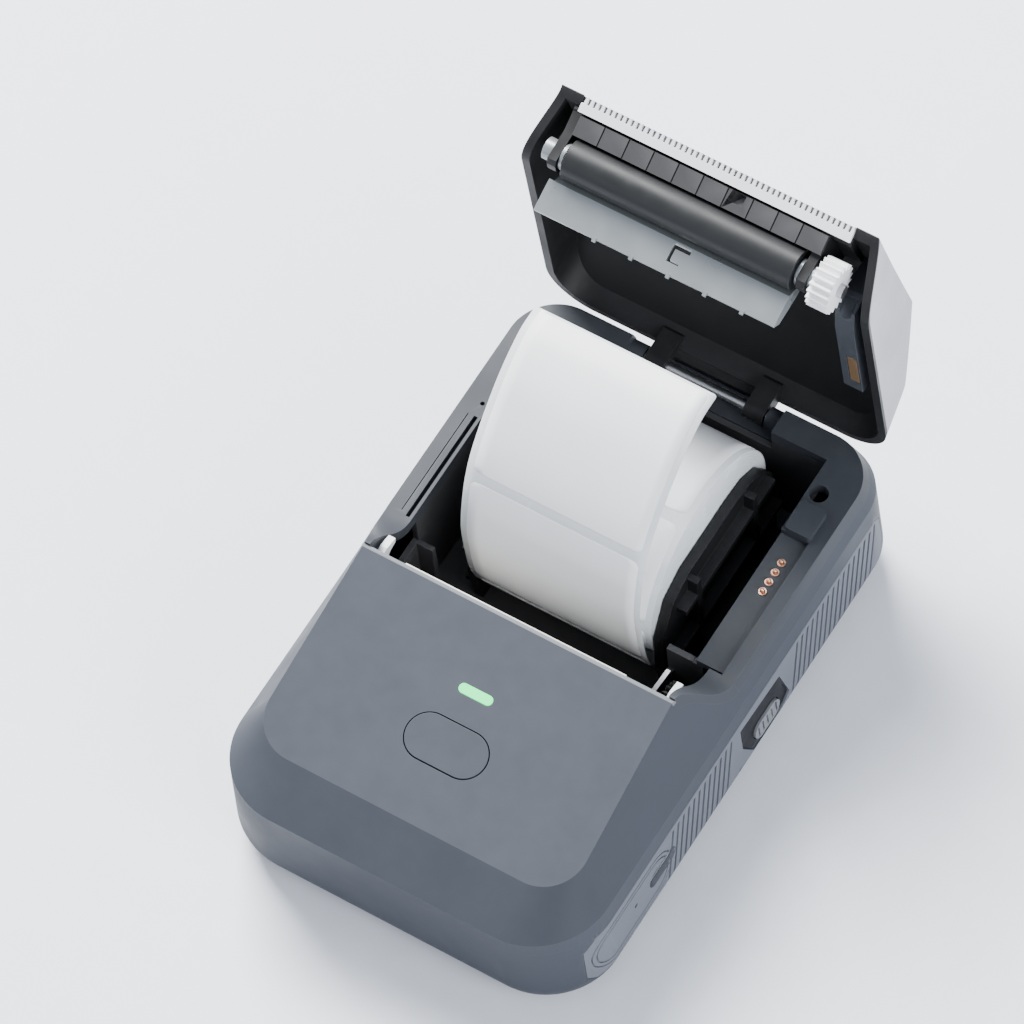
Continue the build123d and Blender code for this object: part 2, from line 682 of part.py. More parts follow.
def label_strip():
    """The free end of the labels, standing up in front of the roll, as a chain of short arcs."""
    line = Spline(*STRIP_PATH, tangents=[(-1, 0), (1, -0.15)])

    def beside(share, offset):
        spot = line @ share
        along = line % share
        return (spot.X - offset * along.Y, spot.Y + offset * along.X)

    edges = []
    for offset in (STRIP_THICK / 2, -STRIP_THICK / 2):
        for arc in range(STRIP_ARCS):
            shares = [arc / STRIP_ARCS, (arc + 0.5) / STRIP_ARCS, (arc + 1) / STRIP_ARCS]
            edges.append(ThreePointArc(*[beside(share, offset) for share in shares]))
    for share in (0, 1):
        edges.append(Line(beside(share, STRIP_THICK / 2), beside(share, -STRIP_THICK / 2)))
    return extrude(Plane.YZ.offset(ROLL_X - ROLL_WIDTH / 2) * make_face(edges), ROLL_WIDTH)


def head_bracket():
    """The steel bracket that carries the print head and the catch shaft."""
    plate = box(-33.0, 26.0, 53.4, 54.4, 17.0, 42.0)
    foot = box(-33.0, 26.0, 46.6, 54.4, 21.8, 22.8) - box(-20.0, 14.0, 46.0, 52.0, 21.0, 24.0)
    ears = [
        side_prism([(53.4, 10.6), (58.0, 10.6), (58.0, 17.6), (54.4, 20.0), (53.4, 20.0)], x, x + 1.0)
        for x in (-33.0, 25.0)
    ]
    bracket = plate + foot + ears
    return bracket - rod(LATCH_Y, LATCH_Z, SHAFT_RADIUS + RUN_FIT, -40, 40)


def head_sink():
    """The aluminium carrier behind the heating plate."""
    sink = box(-29.8, 23.6, 56.4, 58.2, 27.0, 40.0)
    ribs = [box(-26.0 + 9.0 * k, -25.0 + 9.0 * k, 55.6, 56.5, 28.0, 39.0) for k in range(6)]
    return sink + ribs


def print_head():
    """The ceramic heating plate with its glazed line."""
    plate = box(-29.3, 23.1, 58.2, 59.2, 29.0, 40.0)
    return plate + rod(59.15, PLATEN_Z, 0.35, -28.4, 22.2)


def head_springs():
    """Two leaf springs that press the head to the platen."""
    springs = []
    for x in (-23.6, 12.4):
        points = [(54.4, 29.6), (54.8, 29.6), (56.4, 33.3), (56.4, 34.7), (54.8, 38.4), (54.4, 38.4),
                  (54.4, 37.9), (55.7, 34.6), (55.7, 33.4), (54.4, 30.1)]
        springs.append(side_prism(points, x, x + 4.8))
    return Compound(springs)


def latch_shaft():
    """The steel cross shaft of the catch."""
    return rod(LATCH_Y, LATCH_Z, SHAFT_RADIUS, -35.2, 38.2)


def catch_hook(x0, x1):
    """One catch hook, upright from the cross shaft with a beak on top."""
    shape = [
        (53.6, 11.6), (56.4, 11.6), (57.6, 14.0), (57.2, 20.0), (57.6, 38.6), (59.4, 41.0), (61.6, 41.6),
        (61.8, 42.8), (58.6, 43.6), (56.6, 42.8), (55.4, 39.0), (55.0, 20.0), (52.6, 15.6),
    ]
    hook = side_prism(shape, x0, x1)
    hook += box(x0 - 0.4, x1 + 0.1, 56.3, 57.5, 36.2, 37.4)
    return hook - rod(LATCH_Y, LATCH_Z, SHAFT_RADIUS, x0 - 1, x1 + 1)


def release_lever():
    """The arm on the cross shaft that the release button lifts."""
    shape = [(53.0, 12.0), (57.0, 11.6), (80.0, 11.6), (80.0, 13.5), (57.0, 16.4), (53.0, 16.0)]
    arm = side_prism(shape, 36.4, 37.9)
    foot = [(36.4, 13.5), (36.4, 8.7), (37.9, 8.7), (39.4, 10.75), (39.4, 13.5)]
    arm += front_prism(foot, 76.0, 79.8)
    return arm - rod(LATCH_Y, LATCH_Z, SHAFT_RADIUS, 30, 40)


def stepper_motor():
    """The stepper motor under the front panel, with its flange and shaft boss."""
    can = rod(MOTOR_Y, MOTOR_Z, 7.2, 9.0, 24.6)
    flange = rod(MOTOR_Y, MOTOR_Z, 7.5, 24.6, 25.4)
    ears = box(24.6, 25.4, MOTOR_Y - 2.5, MOTOR_Y + 2.5, MOTOR_Z - 9.2, MOTOR_Z + 7.0)
    motor = can + flange + ears + rod(MOTOR_Y, MOTOR_Z, 2.4, 25.4, 26.4)
    return motor - rod(MOTOR_Y, MOTOR_Z, 0.75 + RUN_FIT, 20.0, 30.0)


def gear_plate():
    """The steel plate that carries the gear axles."""
    shape = [
        (36.0, 23.4), (44.0, 16.2), (59.0, 16.2), (68.4, 20.0), (68.6, 30.4), (60.0, 31.6), (53.0, 37.4),
        (50.0, 41.4), (38.0, 39.4), (36.0, 37.0),
    ]
    plate = side_prism(shape, 26.4, 27.4)
    plate -= rod(MOTOR_Y, MOTOR_Z, 2.6, 20, 40)
    plate += rod(IDLER_Y, IDLER_Z, 1.0, 27.3, 33.4)
    plate += rod(DRIVE_Y, DRIVE_Z, 1.0, 27.3, 33.4)
    return plate


def gear_train():
    """The pinion, idler and drive gear, in mesh."""
    heading = math.atan2(IDLER_Z - MOTOR_Z, IDLER_Y - MOTOR_Y)
    pinion_phase = heading
    idler_phase = meshed_phase(PINION_TEETH, pinion_phase, IDLER_TEETH, heading)
    second = math.atan2(DRIVE_Z - IDLER_Z, DRIVE_Y - IDLER_Y)
    drive_phase = meshed_phase(IDLER_TEETH, idler_phase, DRIVE_TEETH, second)
    x0, x1 = GEAR_FACE, GEAR_FACE + GEAR_WIDTH
    pinion = gear(PINION_TEETH, pinion_phase, MOTOR_Y, MOTOR_Z, x0, x1, 0.4)
    pinion += rod(MOTOR_Y, MOTOR_Z, 0.75, 20.5, x0 + 1.0)
    idler = gear(IDLER_TEETH, idler_phase, IDLER_Y, IDLER_Z, x0 + 0.2, x1 - 0.2, 1.0 + RUN_FIT)
    drive = gear(DRIVE_TEETH, drive_phase, DRIVE_Y, DRIVE_Z, x0 + 0.2, x1 - 0.2, 1.0 + RUN_FIT)
    return pinion, idler, drive


def battery_pack():
    """The sealed battery pack."""
    pack = box(-33.0, 20.0, 11.4, 48.6, BODY_WALL, 19.0)
    return fillet(pack.edges().filter_by(Axis.X), 2.0)


def main_board():
    """The main circuit board above the battery."""
    board = box(-33.0, 22.0, 9.0, 45.8, 20.2, 21.6)
    return board - box(14.0, 30.0, 34.0, 60.0, 19.0, 24.0)


def board_parts():
    """Chips, can capacitors and connectors on the main board."""
    parts = [
        box(-22.0, -12.0, 20.0, 30.0, 21.6, 22.8),
        box(-6.0, 1.0, 15.0, 22.0, 21.6, 22.6),
        box(6.0, 18.0, 12.0, 16.0, 21.6, 25.0),
        box(-31.0, -20.0, 38.0, 42.4, 21.6, 25.6),
        post(-28.0, 32.0, 3.0, 21.6, 27.6),
        post(-28.0, 24.5, 3.0, 21.6, 27.6),
    ]
    return Compound(parts)


def key_board():
    """The small board under the power button, with its switch and lamp."""
    board = panel_stadium(31.0, 24.0, 24.0, -6.6, -5.6) & box(-12, 8.4, 20, 43, 0, 60)
    board += panel_stadium(BUTTON_Y, 5.0, 4.8, -5.6, -4.4)
    return board + panel_stadium(LIGHT_Y, 3.4, 2.0, -5.6, -4.9)


def board_posts():
    """Places of the posts that carry the key board."""
    return [(-9.0, 24.0), (9.0, 24.0)]


def power_button():
    """The power button with its flange under the panel."""
    cap = panel_stadium(BUTTON_Y, BUTTON_LENGTH, BUTTON_WIDTH, -2.4, 0.12)
    flange = panel_stadium(BUTTON_Y, BUTTON_LENGTH + 2.6, BUTTON_WIDTH + 2.6, -3.1, -2.25)
    return cap + flange + panel_stadium(BUTTON_Y, 3.2, 3.0, -3.6, -3.0)


def light_pipe():
    """The status light pipe in the panel."""
    pipe = panel_stadium(LIGHT_Y, LIGHT_LENGTH - 0.1, LIGHT_WIDTH - 0.1, -2.4, 0.05)
    return pipe + panel_stadium(LIGHT_Y, LIGHT_LENGTH + 1.6, LIGHT_WIDTH + 1.6, -3.2, -2.02)


def usb_port():
    """The charging port: a steel shell with its tongue."""
    shell = stadium_prism(1, PORT_Y, PORT_Z, PORT_LENGTH, PORT_HEIGHT, 36.2, 43.2)
    shell -= stadium_prism(1, PORT_Y, PORT_Z, PORT_LENGTH - 0.6, PORT_HEIGHT - 0.6, 37.0, 50.0)
    return shell + box(36.6, 42.4, PORT_Y - 3.3, PORT_Y + 3.3, PORT_Z - 0.35, PORT_Z + 0.35)


def port_board():
    """The small board that carries the charging port."""
    return box(24.5, 40.2, 29.2, 43.0, 11.4, PORT_Z - PORT_HEIGHT / 2)


def case_screws():
    """The four screws that hold the case halves together."""
    screws = []
    for x, y in SCREW_PLACES:
        head = post(x, y, HEAD_RADIUS, 1.6, 3.6) - Pos(x, y, 1.4) * extrude(RegularPolygon(1.0, 6), 1.0)
        screws.append(head + post(x, y, SCREW_RADIUS, 3.5, 29.4))
    return Compound(screws)


def hinge_pin():
    """The steel hinge pin."""
    return rod(HINGE_Y, HINGE_Z, 1.25, -17.5, 17.5)


def cover_shell():
    """The light outer shell of the cover."""
    shell = COVER_OUTER - COVER_MIDDLE
    shell &= above_rim(COVER_GAP + COVER_RIM)
    ridge = [e for e in shell.edges() if abs(e.center().Y - RIDGE_Y) < 0.2 and e.center().Z > RIDGE_Z - 0.2]
    return fillet(ridge, 1.2) if ridge else shell


def cover_liner():
    """The dark liner of the cover with its rim, hinge arms and screw bosses."""
    skin = COVER_MIDDLE - COVER_INNER
    skin &= above_rim(COVER_GAP + COVER_RIM)
    rim = (COVER_OUTER - COVER_INNER) & above_rim(COVER_GAP)
    rim -= above_rim(COVER_GAP + COVER_RIM)
    liner = skin + rim
    arm = [
        (HINGE_Y - 2.3, HINGE_Z), (HINGE_Y - 2.0, 37.6), (HINGE_Y - 0.2, 39.6), (HINGE_Y + 0.6, 39.0),
        (HINGE_Y + 2.0, 35.4), (HINGE_Y + 2.3, HINGE_Z),
    ]
    for x0, x1 in ((-14.3, -9.6), (9.6, 14.3)):
        low_part = box(-20, 20, 120, 135, 20, DECK_Z + COVER_GAP + COVER_RIM)
        liner += side_prism(arm, x0, x1) & (COVER_MIDDLE + low_part)
        liner += rod(HINGE_Y, HINGE_Z, 2.3, x0, x1)
    web = [(HINGE_Y + 0.2, 33.6), (HINGE_Y + 2.1, 33.6), (HINGE_Y + 2.0, 35.4), (HINGE_Y + 0.6, 39.0), (HINGE_Y, 38.6)]
    liner += side_prism(web, -9.8, 9.8) & (COVER_MIDDLE + box(-20, 20, 120, 135, 20, DECK_Z + COVER_GAP + COVER_RIM))
    liner -= box(-TEAR_HALF - 0.1, TEAR_HALF + 0.1, 50, 58.7, 30, 60)
    return liner - rod(HINGE_Y, HINGE_Z, 1.25 + RUN_FIT, -20, 20)


TEAR_HALF = 31.5
TEAR_PITCH = 1.26
TEAR_ROOT = 1.9
TEAR_TIP = 3.4


def tear_bar():
    """The serrated tear bar along the cover's front edge."""
    plane = Plane(origin=(0, 58.0, 44.9), x_dir=(1, 0, 0), z_dir=(0, -0.84, -0.54))
    teeth = int(2 * TEAR_HALF / TEAR_PITCH)
    points = [(-TEAR_HALF, 0.0), (TEAR_HALF, 0.0)]
    x = TEAR_HALF
    points.append((x, TEAR_ROOT))
    for _ in range(teeth):
        for share, height in ((0.12, TEAR_TIP), (0.45, TEAR_TIP), (0.6, TEAR_ROOT), (1.0, TEAR_ROOT)):
            points.append((x - share * TEAR_PITCH, height))
        x -= TEAR_PITCH
    return extrude(plane * make_face(Polyline(*points, close=True)), -0.8)


def exit_plate():
    """The dark plate of nine panels between the tear bar and the roller."""
    plate = side_prism([(58.5, 44.5), (60.3, 40.7), (61.3, 41.2), (59.5, 45.0)], -30.6, 27.0)
    for seam in range(1, 10):
        x = -30.6 + 57.6 * seam / 10
        plate -= side_prism([(58.2, 44.5), (60.0, 40.5), (60.5, 40.9), (58.8, 44.7)], x - 0.15, x + 0.15)
    return plate - box(4.9, 8.1, 55.0, 65.0, 42.4, 44.45)


BUSH_RADIUS = 2.4


def platen_frame():
    """The dark frame inside the cover that carries the platen, its plates and the sensor."""
    cheek = [
        (59.6, 44.9), (61.4, 41.3), (61.8, 34.6), (64.3, 33.6), (66.8, 34.6), (70.6, 38.0), (75.0, 44.0),
        (75.0, 50.6), (66.0, 48.8), (59.0, 47.4),
    ]
    inside = COVER_INNER
    frame = side_prism(cheek, -32.9, -30.9) & inside
    frame += side_prism(cheek, 24.9, 26.9) & inside
    beam = side_prism([(70.6, 39.9), (71.9, 39.3), (75.0, 44.0), (75.0, 46.0), (73.6, 46.0)], -32.9, 26.9)
    roof_profile = [(59.0, 45.6), (60.0, 45.1), (62.2, 45.6), (74.9, 48.6), (74.9, 50.6), (60.0, 50.6)]
    roof = side_prism(roof_profile, -32.9, 31.6)
    frame += beam
    frame += roof & inside
    frame -= rod(PLATEN_Y, PLATEN_Z, BUSH_RADIUS, -40, 27.5)
    return frame


def guide_plate():
    """The light guide plate behind the roller."""
    sheet = [(70.1, 39.5), (66.9, 32.6), (69.0, 26.0), (69.8, 26.2), (67.8, 32.6), (71.0, 39.3)]
    plate = side_prism(sheet, -31.9, 24.1)
    for nub in range(5):
        x = -18.0 + 8.6 * nub
        plate += side_prism([(68.6, 26.4), (69.0, 25.4), (69.6, 25.5), (69.6, 26.4)], x, x + 0.8)
    flange = [(67.2, 32.6), (69.3, 26.0), (71.3, 28.0), (71.2, 34.0), (70.6, 38.0), (69.6, 38.0)]
    plate += side_prism(flange, 23.8, 24.1)
    plate -= box(-33.0, -30.7, 60.0, 75.0, 32.8, 45.0)
    plate -= box(-2.2, 1.8, 60.0, 75.0, 31.2, 32.2)
    plate -= box(-2.2, -1.5, 60.0, 75.0, 28.4, 31.4)
    plate -= box(-2.2, 0.6, 60.0, 75.0, 28.4, 28.9)
    return plate


def media_sensor():
    """The paper sensor in the exit plate."""
    return side_prism([(59.3, 44.35), (59.9, 42.5), (61.4, 42.5), (60.8, 44.35)], 5.0, 8.0)


def platen_rubber():
    """The rubber sleeve of the platen."""
    sleeve = rod(PLATEN_Y, PLATEN_Z, PLATEN_RADIUS, -29.4, 23.8)
    return sleeve - rod(PLATEN_Y, PLATEN_Z, SHAFT_RADIUS + 0.6, -40, 40)


def platen_shaft():
    """The steel shaft of the platen, stepped at both ends."""
    shaft = rod(PLATEN_Y, PLATEN_Z, SHAFT_RADIUS + 0.6, -29.4, 23.8)
    shaft += rod(PLATEN_Y, PLATEN_Z, SHAFT_RADIUS, -35.3, 34.2)
    return shaft - box(30.0, 36.0, 60.0, 70.0, PLATEN_Z + 1.2, 50.0)


def platen_bush(x0, x1, lip0, lip1):
    """A bush that carries one end of the platen shaft."""
    bush = rod(PLATEN_Y, PLATEN_Z, BUSH_RADIUS, x0, x1) + rod(PLATEN_Y, PLATEN_Z, BUSH_RADIUS + 0.5, lip0, lip1)
    return bush - rod(PLATEN_Y, PLATEN_Z, SHAFT_RADIUS + RUN_FIT, x0 - 1, x1 + 1)


def platen_gear():
    """The white gear on the end of the platen shaft."""
    wheel = gear(DRIVE_TEETH, 0.0, PLATEN_Y, PLATEN_Z, 28.2, 33.0, SHAFT_RADIUS)
    return wheel + (box(30.0, 33.0, 60, 70, PLATEN_Z + 1.2, PLATEN_Z + 3) & rod(PLATEN_Y, PLATEN_Z, 2.0, 30, 33))


def contact_arm():
    """The arm inside the cover that meets the contact pins."""
    shape = [
        (70.2, 41.0), (71.4, 36.8), (74.0, 36.2), (78.0, 35.6), (104.8, 35.6), (105.2, 36.4), (104.0, 40.0),
        (90.0, 43.0), (76.0, 51.5), (71.0, 50.5),
    ]
    arm = side_prism(shape, 31.9, 36.4) & COVER_INNER
    arm -= Pos(34.2, 71.8, 37.0) * Rot(30, 0, 0) * Cylinder(1.4, 6.0)
    arm -= box(33.6, 36.0, 90.4, 101.2, 34.0, 36.8)
    return arm


def pad_board():
    """The small board with the pads that the contact pins touch."""
    return box(33.8, 35.9, 90.6, 101.0, 35.6, 36.8)


def place(shape):
    """Move a body piece from the front-edge frame to the library frame."""
    return Pos(0, -BODY_LENGTH / 2, 0) * shape


def export(name, shape):
    """Write one piece."""
    export_step(shape, f"parts/{name}.step")
    count = len(shape.solids())
    print(f"{name}: {count} solids, {shape.volume:.0f} mm3")


def main():
    """Build and write every piece."""
    pinion, idler, drive = gear_train()
    body = {
        "lower_case": lower_case(),
        "upper_case": upper_case(),
        "deck_frame": deck_frame(),
        "paper_bay": paper_bay(),
        "left_grip": left_grip(),
        "right_grip": right_grip(),
        "release_bezel": release_bezel(),
        "release_button": release_button(),
        "contact_plate": contact_plate(),
        "contact_barrels": contact_barrels(),
        "contact_pins": contact_pins(),
        "power_button": power_button(),
        "light_pipe": light_pipe(),
        "key_board": key_board(),
        "main_board": main_board(),
        "board_parts": board_parts(),
        "battery_pack": battery_pack(),
        "usb_port": usb_port(),
        "port_board": port_board(),
        "case_screws": case_screws(),
        "head_bracket": head_bracket(),
        "head_springs": head_springs(),
        "head_sink": head_sink(),
        "print_head": print_head(),
        "stepper_motor": stepper_motor(),
        "gear_plate": gear_plate(),
        "motor_pinion": pinion,
        "idler_gear": idler,
        "drive_gear": drive,
        "latch_shaft": latch_shaft(),
        "hook_left": catch_hook(-34.8, -33.2),
        "hook_right": catch_hook(33.6, 35.0),
        "release_lever": release_lever(),
        "hinge_pin": hinge_pin(),
        "holder_left": roll_holder(-1),
        "holder_right": roll_holder(1),
        "hub_left": holder_hub(-1),
        "hub_right": holder_hub(1),
        "rack_left": holder_rack(-1),
        "rack_right": holder_rack(1),
        "holder_pinion": holder_pinion(),
        "label_roll": label_roll(),
        "roll_core": roll_core(),
        "label_strip": label_strip(),
    }
    cover = {
        "cover_shell": cover_shell(),
        "cover_liner": cover_liner(),
        "tear_bar": tear_bar(),
        "exit_plate": exit_plate(),
        "platen_frame": platen_frame(),
        "guide_plate": guide_plate(),
        "media_sensor": media_sensor(),
        "platen_rubber": platen_rubber(),
        "platen_shaft": platen_shaft(),
        "bush_left": platen_bush(-35.0, -30.2, -30.8, -30.0),
        "bush_right": platen_bush(24.2, 27.9, 24.1, 24.8),
        "platen_gear": platen_gear(),
        "contact_arm": contact_arm(),
        "pad_board": pad_board(),
    }
    for name, shape in body.items():
        export(name, place(shape))
    for name, shape in cover.items():
        export(name, place(open_cover(shape)))


main()
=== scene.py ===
"""Looks of the portable thermal printer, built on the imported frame.

Each sub-assembly is a class that dresses the frame's nodes or builds its own pieces.
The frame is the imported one: +X right, +Y rear, +Z up. Blender works in metres, and the
sizes named here are millimetres unless their comment says otherwise.
"""

import json
import logging
import math
from dataclasses import dataclass, field
from enum import Enum
from typing import Dict, List, Optional, Sequence, Set, Tuple

import bmesh
import bpy
import numpy as np
from mathutils import Matrix, Vector

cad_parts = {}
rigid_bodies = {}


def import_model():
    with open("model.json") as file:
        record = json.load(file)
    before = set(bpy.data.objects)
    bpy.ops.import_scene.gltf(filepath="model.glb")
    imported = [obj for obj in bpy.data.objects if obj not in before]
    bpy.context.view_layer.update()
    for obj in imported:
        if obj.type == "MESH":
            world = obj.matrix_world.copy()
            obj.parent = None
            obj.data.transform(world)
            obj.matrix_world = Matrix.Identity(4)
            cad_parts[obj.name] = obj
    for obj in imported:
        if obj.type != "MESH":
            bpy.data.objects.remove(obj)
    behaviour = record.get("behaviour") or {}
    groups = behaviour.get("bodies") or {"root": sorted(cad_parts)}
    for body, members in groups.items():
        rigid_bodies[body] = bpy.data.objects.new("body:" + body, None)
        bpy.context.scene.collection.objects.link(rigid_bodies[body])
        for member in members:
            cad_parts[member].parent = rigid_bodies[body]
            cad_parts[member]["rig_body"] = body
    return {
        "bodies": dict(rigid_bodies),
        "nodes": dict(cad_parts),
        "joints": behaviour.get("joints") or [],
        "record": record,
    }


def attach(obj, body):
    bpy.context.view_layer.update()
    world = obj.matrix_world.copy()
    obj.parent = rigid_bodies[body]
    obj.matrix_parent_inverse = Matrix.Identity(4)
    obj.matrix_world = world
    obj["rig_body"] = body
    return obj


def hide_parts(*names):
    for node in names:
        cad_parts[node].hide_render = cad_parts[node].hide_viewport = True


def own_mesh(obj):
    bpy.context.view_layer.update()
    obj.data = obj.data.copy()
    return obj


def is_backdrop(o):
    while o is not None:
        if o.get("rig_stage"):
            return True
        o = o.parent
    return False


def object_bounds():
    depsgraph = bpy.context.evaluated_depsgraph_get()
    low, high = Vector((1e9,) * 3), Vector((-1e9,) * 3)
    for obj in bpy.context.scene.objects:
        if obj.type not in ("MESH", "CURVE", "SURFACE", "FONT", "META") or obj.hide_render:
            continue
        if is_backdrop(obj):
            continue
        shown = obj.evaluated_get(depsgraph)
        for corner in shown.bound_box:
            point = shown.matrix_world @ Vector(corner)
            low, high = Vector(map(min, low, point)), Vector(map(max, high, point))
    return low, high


logging.basicConfig(level=logging.INFO, format="%(name)s: %(message)s")
LOG = logging.getLogger("printer")

Colour = Tuple[float, float, float]
PathFrame = Tuple[np.ndarray, np.ndarray]

# One millimetre in metres, and the length of the body that centres it on Y = 0
MM = 0.001
BODY_LENGTH = 133.0

# Clean-up of a copied node: merge distance in metres, and the angle in degrees below
# which two faces count as one
MERGE_DISTANCE = 0.000002
FLAT_ANGLE = 0.4

# Rounded edges: segments, and the smallest angle in degrees that is rounded
BEVEL_SEGMENTS = 2
BEVEL_ANGLE = 20.0

# Texture space of every finish
OBJECT_SPACE = "Object"

# Socket places of Blender's colour mix node
MIX_FACTOR = 0
MIX_FIRST = 6
MIX_SECOND = 7
MIX_RESULT = 2

# Fine grain and broad mottle: noise detail and roughness, and the mottle's repeats a metre
GRAIN_DETAIL = 3.0
GRAIN_ROUGHNESS = 0.6
GRAIN_STRENGTH = 0.6
MOTTLE_SCALE = 90.0
MOTTLE_DETAIL = 4.0
MOTTLE_ON_COLOUR = 4.0
MOTTLE_ON_ROUGHNESS = 0.35

# Edge wear: repeats a metre, noise detail, reach from the edge in metres, gain, and how
# much lighter the worn colour is
WEAR_SCALE = 700.0
WEAR_DETAIL = 3.0
WEAR_REACH = 0.00035
WEAR_SAMPLES = 4
WEAR_GAIN = 9.0
WORN_SHARE = 1.5
WORN_LIFT = 0.03

# Dust on faces that look up: repeats a metre, noise detail, falloff, amount and colour
DUST_SCALE = 260.0
DUST_DETAIL = 5.0
DUST_FALLOFF = 3.0
DUST_AMOUNT = 0.10
DUST_ON_COLOUR = 0.25
DUST_ON_ROUGHNESS = 1.2
DUST_COLOUR = (0.55, 0.55, 0.56, 1.0)

# Painted highlight along the rear edge of the panel: where the lighter band begins in Y and in Z,
# and its linear colour
LIP_HIGHLIGHT_FRONT_Y = -11.5
LIP_HIGHLIGHT_LOW_Z = 46.4
LIP_HIGHLIGHT_COLOUR = (0.16, 0.17, 0.18, 1.0)

# Wound roll: spacing of the rings in the mesh, pitch and depth of the waves on its ends,
# and how far it is from round
RING_STEP = 0.18
RING_PITCH = 0.72
RING_DEPTH = 0.05
RING_INSET = 0.06
ROLL_EDGE_INSET = 0.1
ROLL_COLUMNS = 144
ROLL_WOBBLE = 0.0012
ROLL_LOBES = 3

# Sheets: rows near an end, where the even rows begin, their spacing, and the columns
SHEET_ENDS = np.array([0.0, 0.15, 0.4, 0.8, 1.3, 2.0])
SHEET_INSET = 2.4
SHEET_STEP = 1.2
SHEET_LEAST_ROWS = 4
SHEET_COLUMNS = 17
PATH_SAMPLES = 900
SPLINE_STEPS = 24

# Cup of the free strip across its width: depth, and where along the strip it grows
CUP_DEPTH = 0.10
CUP_START = 40.0
CUP_LENGTH = 60.0

# Liner and labels: lift from the strip's middle, thickness and corner radius
LINER_LIFT = -0.05
LINER_THICK = 0.08
LINER_CORNER = 0.6
LABEL_LIFT = 0.03
LABEL_CORNER = 1.6
STRIP_END_MARGIN = 0.6
STRIP_START_MARGIN = 0.5
SHORTEST_LABEL = 6.0

# Camera: focal length in pixels of the picture, picture size in pixels, and the
# picture's scale at the printer in pixels a millimetre
FOCAL_PIXELS = 8193.936
PICTURE_PIXELS = 1024.0
PIXELS_PER_MM = 4.9
SENSOR_WIDTH = 36.0

# Half size of the floor in metres, the point that the lights aim at, and the sky
FLOOR_HALF = 3.0
LIGHT_AIM = (0.0, 0.0, 0.03)
SKY_COLOUR = (0.76, 0.83, 0.96, 1.0)
SKY_STRENGTH = 0.7


class WearStyle(Enum):
    """How strongly the edges of a finish are worn."""

    NONE = 0.0
    LIGHT = 0.35


@dataclass(frozen=True)
class Finish:
    """One finish: its colours, surface grain and wear.

    Args:
        name: Slot and material name.
        colour: Base colour, linear.
        roughness: Mean roughness.
        metallic: Metallic value.
        grain_scale: Size of the fine grain, in repeats a metre.
        grain_height: Bump height of the grain, in metres.
        mottle: Strength of the broad colour variation.
        wear: Edge wear style.
        coat: Coat weight.
        specular: Specular level.
        stretch: Scale of the grain along X, Y and Z, for brushed or turned metal.
        glow: Emission strength.
        lip_highlight: Whether the panel's rear edge gets its painted highlight in this finish.
    """

    name: str
    colour: Colour
    roughness: float = 0.5
    metallic: float = 0.0
    grain_scale: float = 9000.0
    grain_height: float = 0.00001
    mottle: float = 0.06
    wear: WearStyle = WearStyle.LIGHT
    coat: float = 0.0
    specular: float = 0.3
    stretch: Tuple[float, float, float] = (1.0, 1.0, 1.0)
    glow: float = 0.0
    lip_highlight: bool = False


